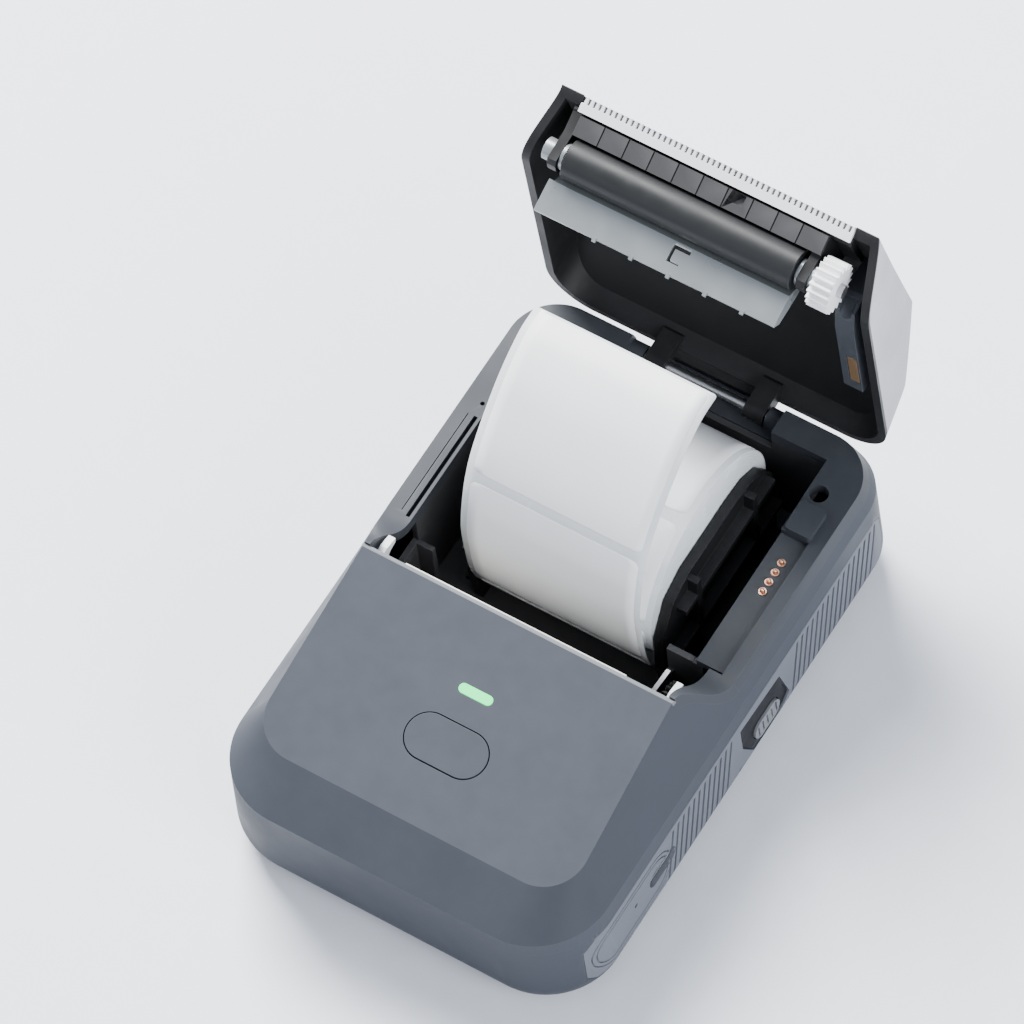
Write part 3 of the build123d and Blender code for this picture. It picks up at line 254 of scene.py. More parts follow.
FINISHES: Tuple[Finish, ...] = (
    # The case plastic carries the painted highlight along the panel's rear edge
    Finish("case_plastic", (0.046, 0.0515, 0.0635), 0.5, specular=0.1, grain_scale=5200.0,
           grain_height=0.000012, lip_highlight=True),
    Finish("case_dark", (0.040, 0.044, 0.052), 0.45, specular=0.15, grain_scale=5200.0,
           grain_height=0.000012),
    Finish("bay_black", (0.045, 0.045, 0.048), 0.5, grain_scale=4200.0, grain_height=0.00001),
    Finish("grip_rubber", (0.125, 0.133, 0.155), 0.6, specular=0.1, grain_scale=6400.0,
           grain_height=0.000016),
    Finish("release_black", (0.005, 0.005, 0.006), 0.4, specular=0.1),
    Finish("release_grey", (0.16, 0.165, 0.18), 0.5),
    Finish("button_plastic", (0.045, 0.0505, 0.0625), 0.5, specular=0.1, grain_scale=5200.0,
           grain_height=0.00001),
    Finish("light_green", (0.03, 0.72, 0.20), 0.4, specular=0.1, mottle=0.02,
           wear=WearStyle.NONE, glow=1.6),
    Finish("cover_silver", (0.26, 0.265, 0.29), 0.36, metallic=0.15, grain_scale=12000.0,
           grain_height=0.000004),
    Finish("cover_black", (0.014, 0.014, 0.015), 0.52, specular=0.2, grain_scale=4600.0,
           grain_height=0.00001),
    Finish("tear_white", (0.86, 0.86, 0.87), 0.38, mottle=0.03),
    Finish("panel_grey", (0.040, 0.040, 0.042), 0.5, specular=0.2),
    Finish("guide_grey", (0.26, 0.28, 0.29), 0.30, metallic=0.5, grain_height=0.000004),
    Finish("platen_rubber", (0.013, 0.014, 0.015), 0.36, specular=0.25, grain_scale=7000.0,
           grain_height=0.000008),
    Finish("steel", (0.50, 0.50, 0.51), 0.3, metallic=1.0, stretch=(0.06, 1.0, 1.0),
           grain_height=0.000003),
    Finish("white_gear", (0.88, 0.88, 0.89), 0.36, mottle=0.03),
    Finish("hook_white", (0.80, 0.81, 0.83), 0.34, mottle=0.03),
    Finish("brass", (0.78, 0.44, 0.30), 0.26, metallic=1.0, mottle=0.1),
    Finish("board_green", (0.015, 0.115, 0.045), 0.34, mottle=0.16, coat=0.3),
    Finish("chip_black", (0.018, 0.018, 0.019), 0.48),
    Finish("battery_wrap", (0.035, 0.09, 0.28), 0.30, coat=0.4, mottle=0.08),
    Finish("aluminium", (0.62, 0.63, 0.64), 0.32, metallic=1.0, stretch=(0.05, 1.0, 1.0),
           grain_height=0.000004),
    Finish("ceramic", (0.80, 0.775, 0.70), 0.22, coat=0.5, mottle=0.05, wear=WearStyle.NONE),
    Finish("motor_steel", (0.42, 0.42, 0.43), 0.34, metallic=1.0, grain_height=0.000004),
    Finish("gear_plastic", (0.55, 0.54, 0.49), 0.42, mottle=0.05),
    Finish("label_paper", (0.90, 0.91, 0.92), 0.46, grain_scale=2600.0, grain_height=0.000004,
           mottle=0.02, wear=WearStyle.NONE),
    Finish("liner_paper", (0.70, 0.72, 0.735), 0.26, grain_scale=1800.0, grain_height=0.000004,
           mottle=0.05, wear=WearStyle.NONE, coat=0.2),
    Finish("core_board", (0.50, 0.39, 0.27), 0.8, grain_scale=1800.0, grain_height=0.00003,
           mottle=0.2),
    Finish("holder_black", (0.009, 0.009, 0.010), 0.36),
    Finish("pad_copper", (0.26, 0.16, 0.085), 0.36, metallic=0.6, mottle=0.2),
    Finish("sensor_white", (0.07, 0.07, 0.075), 0.3),
    Finish("floor", (0.80, 0.82, 0.87), 0.55, grain_scale=40.0, grain_height=0.00002,
           mottle=0.03, wear=WearStyle.NONE),
)


class NodeKit:
    """Small helpers to lay out shader nodes."""

    def __init__(self, tree: bpy.types.NodeTree) -> None:
        """Keep the tree.

        Args:
            tree: Node tree to fill.
        """
        self.tree = tree

    def add(self, kind: str, **values: object) -> bpy.types.Node:
        """Add a node and set its fields.

        Args:
            kind: Node type name.
            values: Attributes to set on the node.

        Returns:
            The new node.
        """
        node = self.tree.nodes.new(kind)
        for key, value in values.items():
            setattr(node, key, value)
        return node

    def link(self, source: bpy.types.NodeSocket, target: bpy.types.NodeSocket) -> None:
        """Join two sockets.

        Args:
            source: Output socket.
            target: Input socket.
        """
        self.tree.links.new(source, target)

    def feed(self, value: object, target: bpy.types.NodeSocket) -> None:
        """Put a socket or a number into an input.

        Args:
            value: Socket or number.
            target: Input socket.
        """
        if isinstance(value, bpy.types.NodeSocket):
            self.link(value, target)
        else:
            target.default_value = float(value)

    def math(
        self, operation: str, first: object, second: object = 0.0, clamp: bool = False
    ) -> bpy.types.NodeSocket:
        """Add a math node.

        Args:
            operation: Math operation.
            first: Socket or number.
            second: Socket or number.
            clamp: Whether to clamp the result to 0..1.

        Returns:
            The output socket.
        """
        node = self.add("ShaderNodeMath", operation=operation, use_clamp=clamp)
        self.feed(first, node.inputs[0])
        self.feed(second, node.inputs[1])
        return node.outputs[0]

    def noise(
        self, place: bpy.types.NodeSocket, scale: object, detail: float, roughness: float = 0.5
    ) -> bpy.types.NodeSocket:
        """Add a noise texture.

        Args:
            place: Coordinates to read.
            scale: Repeats a metre, socket or number.
            detail: Noise detail.
            roughness: Noise roughness.

        Returns:
            The output socket, 0..1.
        """
        node = self.add("ShaderNodeTexNoise")
        self.link(place, node.inputs["Vector"])
        self.feed(scale, node.inputs["Scale"])
        node.inputs["Detail"].default_value = detail
        node.inputs["Roughness"].default_value = roughness
        return node.outputs["Fac"]

    def mix(
        self,
        factor: bpy.types.NodeSocket,
        first: bpy.types.NodeSocket,
        second: Tuple[float, float, float, float],
    ) -> bpy.types.NodeSocket:
        """Mix a colour towards a fixed one.

        Args:
            factor: Share of the fixed colour.
            first: Colour at factor 0.
            second: Fixed colour at factor 1.

        Returns:
            The colour socket.
        """
        node = self.add("ShaderNodeMix", data_type="RGBA")
        self.link(factor, node.inputs[MIX_FACTOR])
        self.link(first, node.inputs[MIX_FIRST])
        node.inputs[MIX_SECOND].default_value = second
        return node.outputs[MIX_RESULT]


class SharedGroups:
    """Shader groups that the finishes share: grain, edge wear and dust."""

    def __init__(self) -> None:
        """Build the groups."""
        self.grain = self._grain()
        self.wear = self._wear()
        self.dust = self._dust()

    @staticmethod
    def _group(
        name: str, inputs: Sequence[Tuple[str, str]], outputs: Sequence[Tuple[str, str]]
    ) -> bpy.types.NodeTree:
        """Make an empty group with its sockets.

        Args:
            name: Group name.
            inputs: Pairs of name and socket type.
            outputs: Pairs of name and socket type.

        Returns:
            The group.
        """
        group = bpy.data.node_groups.new(name, "ShaderNodeTree")
        for label, kind in inputs:
            group.interface.new_socket(name=label, in_out="INPUT", socket_type=kind)
        for label, kind in outputs:
            group.interface.new_socket(name=label, in_out="OUTPUT", socket_type=kind)
        return group

    def _grain(self) -> bpy.types.NodeTree:
        """Fine grain for the bump and a broad mottle for colour and roughness.

        Returns:
            The group: height is noise(p * scale), mottle is noise(p * 90) - 0.5.
        """
        group = self._group(
            "surface_grain",
            (("Vector", "NodeSocketVector"), ("Scale", "NodeSocketFloat")),
            (("Height", "NodeSocketFloat"), ("Mottle", "NodeSocketFloat")),
        )
        kit = NodeKit(group)
        entry = kit.add("NodeGroupInput")
        leave = kit.add("NodeGroupOutput")
        place = entry.outputs["Vector"]
        fine = kit.noise(place, entry.outputs["Scale"], GRAIN_DETAIL, GRAIN_ROUGHNESS)
        broad = kit.noise(place, MOTTLE_SCALE, MOTTLE_DETAIL)
        kit.link(fine, leave.inputs["Height"])
        kit.link(kit.math("SUBTRACT", broad, 0.5), leave.inputs["Mottle"])
        return group

    def _wear(self) -> bpy.types.NodeTree:
        """Edge wear, where the normal of a rounded surface turns away, broken up by noise.

        Returns:
            The group: mask is clamp((1 - rounded normal . normal) * 9) * noise * amount.
        """
        group = self._group(
            "edge_wear",
            (("Vector", "NodeSocketVector"), ("Amount", "NodeSocketFloat")),
            (("Mask", "NodeSocketFloat"),),
        )
        kit = NodeKit(group)
        entry = kit.add("NodeGroupInput")
        leave = kit.add("NodeGroupOutput")
        geometry = kit.add("ShaderNodeNewGeometry")
        noise = kit.noise(entry.outputs["Vector"], WEAR_SCALE, WEAR_DETAIL)
        rounded = kit.add("ShaderNodeBevel", samples=WEAR_SAMPLES)
        rounded.inputs["Radius"].default_value = WEAR_REACH
        turn = kit.add("ShaderNodeVectorMath", operation="DOT_PRODUCT")
        kit.link(rounded.outputs["Normal"], turn.inputs[0])
        kit.link(geometry.outputs["Normal"], turn.inputs[1])
        sharp = kit.math("SUBTRACT", 1.0, turn.outputs["Value"])
        sharp = kit.math("MULTIPLY", sharp, WEAR_GAIN, clamp=True)
        broken = kit.math("MULTIPLY", sharp, noise)
        mask = kit.math("MULTIPLY", broken, entry.outputs["Amount"], clamp=True)
        kit.link(mask, leave.inputs["Mask"])
        return group

    def _dust(self) -> bpy.types.NodeTree:
        """A thin veil of dust on surfaces that face up.

        Returns:
            The group: mask is max(normal z, 0) ^ 3 * noise * 0.1.
        """
        group = self._group(
            "light_dust", (("Vector", "NodeSocketVector"),), (("Mask", "NodeSocketFloat"),)
        )
        kit = NodeKit(group)
        entry = kit.add("NodeGroupInput")
        leave = kit.add("NodeGroupOutput")
        geometry = kit.add("ShaderNodeNewGeometry")
        split = kit.add("ShaderNodeSeparateXYZ")
        kit.link(geometry.outputs["Normal"], split.inputs[0])
        noise = kit.noise(entry.outputs["Vector"], DUST_SCALE, DUST_DETAIL)
        upward = kit.math("MAXIMUM", split.outputs["Z"], 0.0)
        upward = kit.math("POWER", upward, DUST_FALLOFF)
        veil = kit.math("MULTIPLY", upward, noise)
        kit.link(kit.math("MULTIPLY", veil, DUST_AMOUNT), leave.inputs["Mask"])
        return group


class FinishLibrary:
    """Turns finishes into materials on demand."""

    def __init__(self, finishes: Sequence[Finish]) -> None:
        """Keep the finishes.

        Args:
            finishes: Every finish of the scene.
        """
        self.finishes: Dict[str, Finish] = {finish.name: finish for finish in finishes}
        self.groups = SharedGroups()
        self.made: Dict[str, bpy.types.Material] = {}

    def material(self, name: str) -> bpy.types.Material:
        """Get the material of a finish.

        Args:
            name: Finish name.

        Returns:
            The material.
        """
        if name not in self.made:
            self.made[name] = self._build(self.finishes[name])
        return self.made[name]

    def _build(self, finish: Finish) -> bpy.types.Material:
        """Build a material.

        Args:
            finish: The finish to build.

        Returns:
            The material.
        """
        material = bpy.data.materials.new(finish.name)
        material.use_nodes = True
        kit = NodeKit(material.node_tree)
        shader = material.node_tree.nodes["Principled BSDF"]
        place = kit.add("ShaderNodeTexCoord").outputs[OBJECT_SPACE]
        mapping = kit.add("ShaderNodeMapping")
        mapping.inputs["Scale"].default_value = finish.stretch
        kit.link(place, mapping.inputs["Vector"])
        grain = kit.add("ShaderNodeGroup", node_tree=self.groups.grain)
        kit.link(mapping.outputs["Vector"], grain.inputs["Vector"])
        grain.inputs["Scale"].default_value = finish.grain_scale
        wear = kit.add("ShaderNodeGroup", node_tree=self.groups.wear)
        kit.link(place, wear.inputs["Vector"])
        wear.inputs["Amount"].default_value = finish.wear.value
        dust = kit.add("ShaderNodeGroup", node_tree=self.groups.dust)
        kit.link(place, dust.inputs["Vector"])
        mottle, veil = grain.outputs["Mottle"], dust.outputs["Mask"]
        colour = self._colour(kit, finish, mottle, wear.outputs["Mask"], veil)
        # Painted highlight: a lighter band on the panel's rear edge, standing in for the light that
        # edge catches
        if finish.lip_highlight:
            colour = self._paint_lip_highlight(kit, place, colour)
        kit.link(colour, shader.inputs["Base Color"])
        kit.link(self._roughness(kit, finish, mottle, veil), shader.inputs["Roughness"])
        bump = kit.add("ShaderNodeBump")
        bump.inputs["Distance"].default_value = finish.grain_height
        bump.inputs["Strength"].default_value = GRAIN_STRENGTH
        kit.link(grain.outputs["Height"], bump.inputs["Height"])
        kit.link(bump.outputs["Normal"], shader.inputs["Normal"])
        shader.inputs["Metallic"].default_value = finish.metallic
        shader.inputs["Coat Weight"].default_value = finish.coat
        shader.inputs["Specular IOR Level"].default_value = finish.specular
        if finish.glow > 0:
            shader.inputs["Emission Color"].default_value = (*finish.colour, 1.0)
            shader.inputs["Emission Strength"].default_value = finish.glow
        LOG.info("finish %s", finish.name)
        return material

    @staticmethod
    def _colour(
        kit: NodeKit,
        finish: Finish,
        mottle: bpy.types.NodeSocket,
        wear: bpy.types.NodeSocket,
        dust: bpy.types.NodeSocket,
    ) -> bpy.types.NodeSocket:
        """Mix the base colour with mottle, wear and dust.

        Args:
            kit: Node helper of the material.
            finish: The finish.
            mottle: Broad variation, centred on zero.
            wear: Edge wear mask.
            dust: Dust mask.

        Returns:
            The colour socket.
        """
        change = kit.math("MULTIPLY", mottle, finish.mottle * MOTTLE_ON_COLOUR)
        base = kit.add("ShaderNodeHueSaturation")
        base.inputs["Color"].default_value = (*finish.colour, 1.0)
        kit.link(kit.math("ADD", change, 1.0), base.inputs["Value"])
        light = tuple(min(1.0, channel * WORN_SHARE + WORN_LIFT) for channel in finish.colour)
        worn = kit.mix(wear, base.outputs["Color"], (*light, 1.0))
        return kit.mix(kit.math("MULTIPLY", dust, DUST_ON_COLOUR), worn, DUST_COLOUR)

    @staticmethod
    def _roughness(
        kit: NodeKit, finish: Finish, mottle: bpy.types.NodeSocket, dust: bpy.types.NodeSocket
    ) -> bpy.types.NodeSocket:
        """Vary the roughness with mottle and dust.

        Args:
            kit: Node helper of the material.
            finish: The finish.
            mottle: Broad variation, centred on zero.
            dust: Dust mask.

        Returns:
            The roughness socket.
        """
        rough = kit.math("MULTIPLY", mottle, MOTTLE_ON_ROUGHNESS)
        rough = kit.math("ADD", rough, finish.roughness)
        dusty = kit.math("MULTIPLY", dust, DUST_ON_ROUGHNESS)
        return kit.math("ADD", rough, dusty, clamp=True)

    @staticmethod
    def _paint_lip_highlight(
        kit: NodeKit, place: bpy.types.NodeSocket, colour: bpy.types.NodeSocket
    ) -> bpy.types.NodeSocket:
        """Paint a highlight along the rear edge of the panel: a lighter band that stands in for the
        light that edge catches.

        Args:
            kit: Node helper of the material.
            place: Object coordinates.
            colour: Colour of the case.

        Returns:
            The colour socket.
        """
        split = kit.add("ShaderNodeSeparateXYZ")
        kit.link(place, split.inputs[0])
        behind = kit.math("GREATER_THAN", split.outputs["Y"], LIP_HIGHLIGHT_FRONT_Y * MM)
        above = kit.math("GREATER_THAN", split.outputs["Z"], LIP_HIGHLIGHT_LOW_Z * MM)
        return kit.mix(kit.math("MULTIPLY", behind, above), colour, LIP_HIGHLIGHT_COLOUR)


class MeshMaker:
    """Builds mesh objects from numpy arrays."""

    @staticmethod
    def build(
        name: str, points: np.ndarray, faces: np.ndarray, smooth: bool = True
    ) -> bpy.types.Object:
        """Make an object at the origin with its place in the mesh.

        Args:
            name: Object name.
            points: Vertex positions in metres, N by 3.
            faces: Vertex indices of the quads, N by 4.
            smooth: Whether faces are smooth shaded.

        Returns:
            The object, linked to the scene.
        """
        mesh = bpy.data.meshes.new(name)
        mesh.from_pydata(points.tolist(), [], faces.tolist())
        mesh.validate()
        mesh.update()
        if smooth:
            mesh.polygons.foreach_set("use_smooth", np.ones(len(mesh.polygons), dtype=bool))
        obj = bpy.data.objects.new(name, mesh)
        bpy.context.scene.collection.objects.link(obj)
        return obj

    @staticmethod
    def grid_faces(rows: int, columns: int, wrap: bool = False) -> np.ndarray:
        """Quads of a grid of vertices stored row by row.

        Args:
            rows: Number of rows.
            columns: Vertices in a row.
            wrap: Whether the last column joins the first.

        Returns:
            The quads, N by 4: a vertex, the next in its row, and the two above them.
        """
        row = np.arange(rows - 1)[:, None] * columns
        column = np.arange(columns if wrap else columns - 1)[None, :]
        first = row + column
        second = row + (column + 1) % columns
        quads = np.stack([first, second, second + columns, first + columns], axis=-1)
        return quads.reshape(-1, 4)

    @staticmethod
    def shell_faces(rows: int, columns: int) -> np.ndarray:
        """Quads of a closed sheet: a lower grid, an upper grid and the rim between them.

        Args:
            rows: Number of rows of each grid.
            columns: Vertices in a row.

        Returns:
            The quads, N by 4. The rim goes once round the border of both grids.
        """
        count = rows * columns
        grid = MeshMaker.grid_faces(rows, columns)
        rim = np.concatenate([
            np.arange(columns),
            np.arange(1, rows) * columns + columns - 1,
            (rows - 1) * columns + np.arange(columns - 2, -1, -1),
            np.arange(rows - 2, 0, -1) * columns,
        ])
        following = np.roll(rim, -1)
        sides = np.stack([rim, following, following + count, rim + count], axis=1)
        return np.vstack([grid[:, ::-1], grid + count, sides])

    @staticmethod
    def face_outwards(obj: bpy.types.Object) -> None:
        """Turn faces outwards by the sign of the enclosed volume.

        Args:
            obj: Closed mesh object. Its volume is the sum of a . (b x c) / 6 over triangles.
        """
        mesh = obj.data
        mesh.calc_loop_triangles()
        points = np.empty(len(mesh.vertices) * 3, dtype=np.float32)
        mesh.vertices.foreach_get("co", points)
        corners = np.empty(len(mesh.loop_triangles) * 3, dtype=np.int32)
        mesh.loop_triangles.foreach_get("vertices", corners)
        triangles = points.astype(float).reshape(-1, 3)[corners.reshape(-1, 3)]
        a, b, c = triangles[:, 0], triangles[:, 1], triangles[:, 2]
        if np.einsum("ij,ij->i", a, np.cross(b, c)).sum() < 0:
            mesh.flip_normals()


def frame_point(x: np.ndarray, y: np.ndarray, z: np.ndarray) -> np.ndarray:
    """Turn front-edge millimetres into frame metres.

    Args:
        x: Across, mm.
        y: From the front edge, mm.
        z: Above the base, mm.

    Returns:
        Points as an N by 3 array: (x, y - length / 2, z) / 1000.
    """
    x, y, z = np.broadcast_arrays(x, y, z)
    return np.stack([x, y - BODY_LENGTH / 2, z], axis=-1).reshape(-1, 3) * MM


def path_length(points: np.ndarray) -> np.ndarray:
    """Measure the way along a line.

    Args:
        points: Points of the line, N by 2.

    Returns:
        Distance from the first point to each point, along the line.
    """
    steps = np.linalg.norm(np.diff(points, axis=0), axis=1)
    return np.concatenate([[0.0], np.cumsum(steps)])


def catmull(points: np.ndarray, samples: int) -> np.ndarray:
    """Sample a uniform Catmull-Rom curve at even arc length.

    Args:
        points: Control points, N by 2.
        samples: Number of samples.

    Returns:
        Samples by 2. Between p1 and p2 the curve is 0.5 (2 p1 + (p2 - p0) t
        + (2 p0 - 5 p1 + 4 p2 - p3) t^2 + (3 p1 - p0 - 3 p2 + p3) t^3).
    """
    padded = np.vstack([2 * points[0] - points[1], points, 2 * points[-1] - points[-2]])
    t = np.linspace(0.0, 1.0, SPLINE_STEPS, endpoint=False)[:, None]
    pieces = []
    for index in range(len(points) - 1):
        p0, p1, p2, p3 = padded[index:index + 4]
        curve = 2 * p1 + (p2 - p0) * t + (2 * p0 - 5 * p1 + 4 * p2 - p3) * t ** 2
        pieces.append(0.5 * (curve + (3 * p1 - p0 - 3 * p2 + p3) * t ** 3))
    dense = np.vstack(pieces + [points[-1:]])
    length = path_length(dense)
    even = np.linspace(0.0, length[-1], samples)
    return np.stack([np.interp(even, length, dense[:, axis]) for axis in (0, 1)], axis=1)


@dataclass
class LabelPaper:
    """The label roll and the free strip of labels.

    Args:
        centre: Roll centre as x, y, z in front-edge mm.
        radius: Roll radius, mm.
        width: Liner width, mm.
        core_outer: Outer radius of the core, mm.
        label_width: Label width, mm.
        label_length: Label length, mm.
        label_gap: Gap between labels, mm.
        label_thick: Label thickness, mm.
        seam_angle: Where the outer turn starts, radians from +Y towards +Z.
        path: Strip path as y, z points, mm.
    """

    centre: Tuple[float, float, float] = (-1.9, 97.0, 28.0)
    radius: float = 23.2
    width: float = 42.5
    core_outer: float = 8.0
    label_width: float = 39.6
    label_length: float = 37.0
    label_gap: float = 2.6
    label_thick: float = 0.07
    seam_angle: float = math.radians(103.0)
    path: Tuple[Tuple[float, float], ...] = (
        (95.0, 4.5), (84.0, 5.7), (76.6, 11.0), (72.5, 20.5), (71.0, 33.0), (71.3, 46.0),
        (76.2, 61.4), (87.0, 73.8), (97.1, 80.3), (104.5, 81.2),
    )

    def wound_roll(self) -> bpy.types.Object:
        """Build the wound roll, with the edges of its turns as fine rings on both ends.

        Returns:
            The roll. At radius r its end stands at half width - 0.06 - 0.05 cos(2 pi r / 0.72),
            and inside its outer turn r is r (1 + 0.0012 sin(3 angle + 0.7)).
        """
        cx, cy, cz = self.centre
        half = self.width / 2
        outer = self.radius - self.label_thick
        rings = np.arange(self.core_outer, outer - 0.2, RING_STEP)
        end = half - RING_INSET - RING_DEPTH * np.cos(rings * 2 * math.pi / RING_PITCH)
        edge = half - ROLL_EDGE_INSET
        profile_r = np.concatenate([rings, [outer, outer], rings[::-1]])
        profile_x = np.concatenate([-end, [-edge, edge], end[::-1]])
        angles = np.linspace(0.0, 2 * math.pi, ROLL_COLUMNS, endpoint=False)
        wobble = 1.0 + ROLL_WOBBLE * np.sin(ROLL_LOBES * angles + 0.7)
        inner = profile_r[:, None] < outer - 0.3
        rr = profile_r[:, None] * np.where(inner, wobble[None, :], 1.0)
        yy = cy + rr * np.cos(angles)[None, :]
        zz = cz + rr * np.sin(angles)[None, :]
        xx = cx + np.repeat(profile_x[:, None], ROLL_COLUMNS, axis=1)
        rows = len(profile_r)
        column = np.arange(ROLL_COLUMNS)
        following = (column + 1) % ROLL_COLUMNS
        last = (rows - 1) * ROLL_COLUMNS
        bore = np.stack([last + column, last + following, following, column], axis=1)
        grid = MeshMaker.grid_faces(rows, ROLL_COLUMNS, wrap=True)
        roll = MeshMaker.build("roll_wound", frame_point(xx, yy, zz), np.vstack([grid, bore]))
        MeshMaker.face_outwards(roll)
        LOG.info("wound roll, %d rings", len(rings))
        return roll

    def _strip_frame(self) -> PathFrame:
        """Sample the strip path and its normals.

        Returns:
            Points and unit normals, both N by 2, the normals pointing out of the curl.
        """
        line = catmull(np.array(self.path), PATH_SAMPLES)
        along = np.gradient(line, axis=0)
        along /= np.linalg.norm(along, axis=1)[:, None]
        normal = np.stack([-along[:, 1], along[:, 0]], axis=1)
        return line, -normal if normal[PATH_SAMPLES // 2, 0] > 0 else normal

    def _round_frame(self) -> PathFrame:
        """Sample the outer turn of the roll and its normals.

        Returns:
            Points and unit normals, both N by 2: centre + r (cos a, sin a) at angle a.
        """
        angle = self.seam_angle - np.linspace(0.0, 2 * math.pi, PATH_SAMPLES)
        normal = np.stack([np.cos(angle), np.sin(angle)], axis=1)
        return np.array(self.centre[1:]) + (self.radius - self.label_thick) * normal, normal

    @staticmethod
    def _sheet_rows(
        start: float, end: float, half: float, corner: float
    ) -> Tuple[np.ndarray, np.ndarray]:
        """Place the rows of a sheet, closer together at its ends.

        Args:
            start: Start along the path, mm.
            end: End along the path, mm.
            half: Half width, mm.
            corner: Corner radius, mm.

        Returns:
            Distance along the path and half width of each row. At distance s from an end the
            half width is half - corner + sqrt(corner^2 - (corner - s)^2).
        """
        count = max(SHEET_LEAST_ROWS, int((end - start) / SHEET_STEP))
        inside = np.linspace(start + SHEET_INSET, end - SHEET_INSET, count)
        rows = np.concatenate([start + SHEET_ENDS, inside, (end - SHEET_ENDS)[::-1]])
        reach = np.clip(corner - np.minimum(rows - start, end - rows), 0.0, corner)
        return rows, half - corner + np.sqrt(np.maximum(corner ** 2 - reach ** 2, 0.0))

    def sheet(
        self,
        name: str,
        start: float,
        end: float,
        half: float,
        lift: float,
        thick: float,
        corner: float,
        frame: Optional[PathFrame] = None,
    ) -> bpy.types.Object:
        """Build one sheet lying on a path, with rounded corners.

        Args:
            name: Object name.
            start: Start along the path, mm.
            end: End along the path, mm, cut to the path's own length.
            half: Half width, mm.
            lift: Distance of the sheet's under side from the path, mm.
            thick: Sheet thickness, mm.
            corner: Corner radius, mm.
            frame: Points and normals of the path; without it the strip's own, which is cupped.

        Returns:
            The sheet. The cup at share a across is depth * (1 - a^2), and it grows along the
            strip from none at 40 mm to the full depth at 100 mm.
        """
        line, normal = frame or self._strip_frame()
        length = path_length(line)
        end = min(end, length[-1])
        rows, half_at = self._sheet_rows(start, end, half, corner)
        py, pz = (np.interp(rows, length, line[:, axis]) for axis in (0, 1))
        ny, nz = (np.interp(rows, length, normal[:, axis]) for axis in (0, 1))
        across = np.linspace(-1.0, 1.0, SHEET_COLUMNS)
        cup = np.zeros((len(rows), SHEET_COLUMNS))
        if frame is None:
            grown = np.clip((rows - CUP_START) / CUP_LENGTH, 0.0, 1.0)
            cup = CUP_DEPTH * (1.0 - across ** 2)[None, :] * grown[:, None]
        layers = []
        for level in (lift, lift + thick):
            offset = level + cup
            xx = self.centre[0] + half_at[:, None] * across[None, :]
            yy = py[:, None] + ny[:, None] * offset
            zz = pz[:, None] + nz[:, None] * offset
            layers.append(frame_point(xx, yy, zz))
        faces = MeshMaker.shell_faces(len(rows), SHEET_COLUMNS)
        obj = MeshMaker.build(name, np.vstack(layers), faces)
        MeshMaker.face_outwards(obj)
        LOG.info("sheet %s from %.0f to %.0f mm", name, start, end)
        return obj

    def _build_roll(self, finishes: FinishLibrary) -> None:
        """Build the wound roll and the labels of its outer turn.

        Args:
            finishes: The finish library.
        """
        roll = self.wound_roll()
        roll.data.materials.append(finishes.material("liner_paper"))
        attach(roll, "roll")
        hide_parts("label_roll")
        turn = 2 * math.pi * (self.radius - self.label_thick)
        pitch = self.label_length + self.label_gap
        half = self.label_width / 2
        frame = self._round_frame()
        for place, start in enumerate(np.arange(0.0, turn - self.label_gap, pitch)):
            end = min(start + self.label_length, turn - self.label_gap)
            label = self.sheet(
                f"roll_label_{place}", start, end, half, 0.0, self.label_thick, LABEL_CORNER, frame
            )
            label.data.materials.append(finishes.material("label_paper"))
            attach(label, "roll")

    def _build_strip(self, finishes: FinishLibrary) -> List[bpy.types.Object]:
        """Build the free strip: its liner, and its labels from the free end backwards.

        Args:
            finishes: The finish library.

        Returns:
            The pieces.
        """
        liner = self.sheet(
            "strip_liner", 0.0, math.inf, self.width / 2, LINER_LIFT, LINER_THICK, LINER_CORNER
        )
        liner.data.materials.append(finishes.material("liner_paper"))
        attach(liner, "body")
        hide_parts("label_strip")
        pieces = [liner]
        half = self.label_width / 2
        line, _ = self._strip_frame()
        end = float(path_length(line)[-1]) - STRIP_END_MARGIN
        while end > SHORTEST_LABEL:
            start = max(end - self.label_length, STRIP_START_MARGIN)
            name = f"strip_label_{len(pieces) - 1}"
            label = self.sheet(name, start, end, half, LABEL_LIFT, self.label_thick, LABEL_CORNER)
            label.data.materials.append(finishes.material("label_paper"))
            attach(label, "body")
            pieces.append(label)
            end = start - self.label_gap
        return pieces

    def build(self, finishes: FinishLibrary) -> None:
        """Build the roll and the strip, and give each piece of the strip its own copy of its mesh.

        Args:
            finishes: The finish library.
        """
        self._build_roll(finishes)
        for piece in self._build_strip(finishes):
            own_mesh(piece)


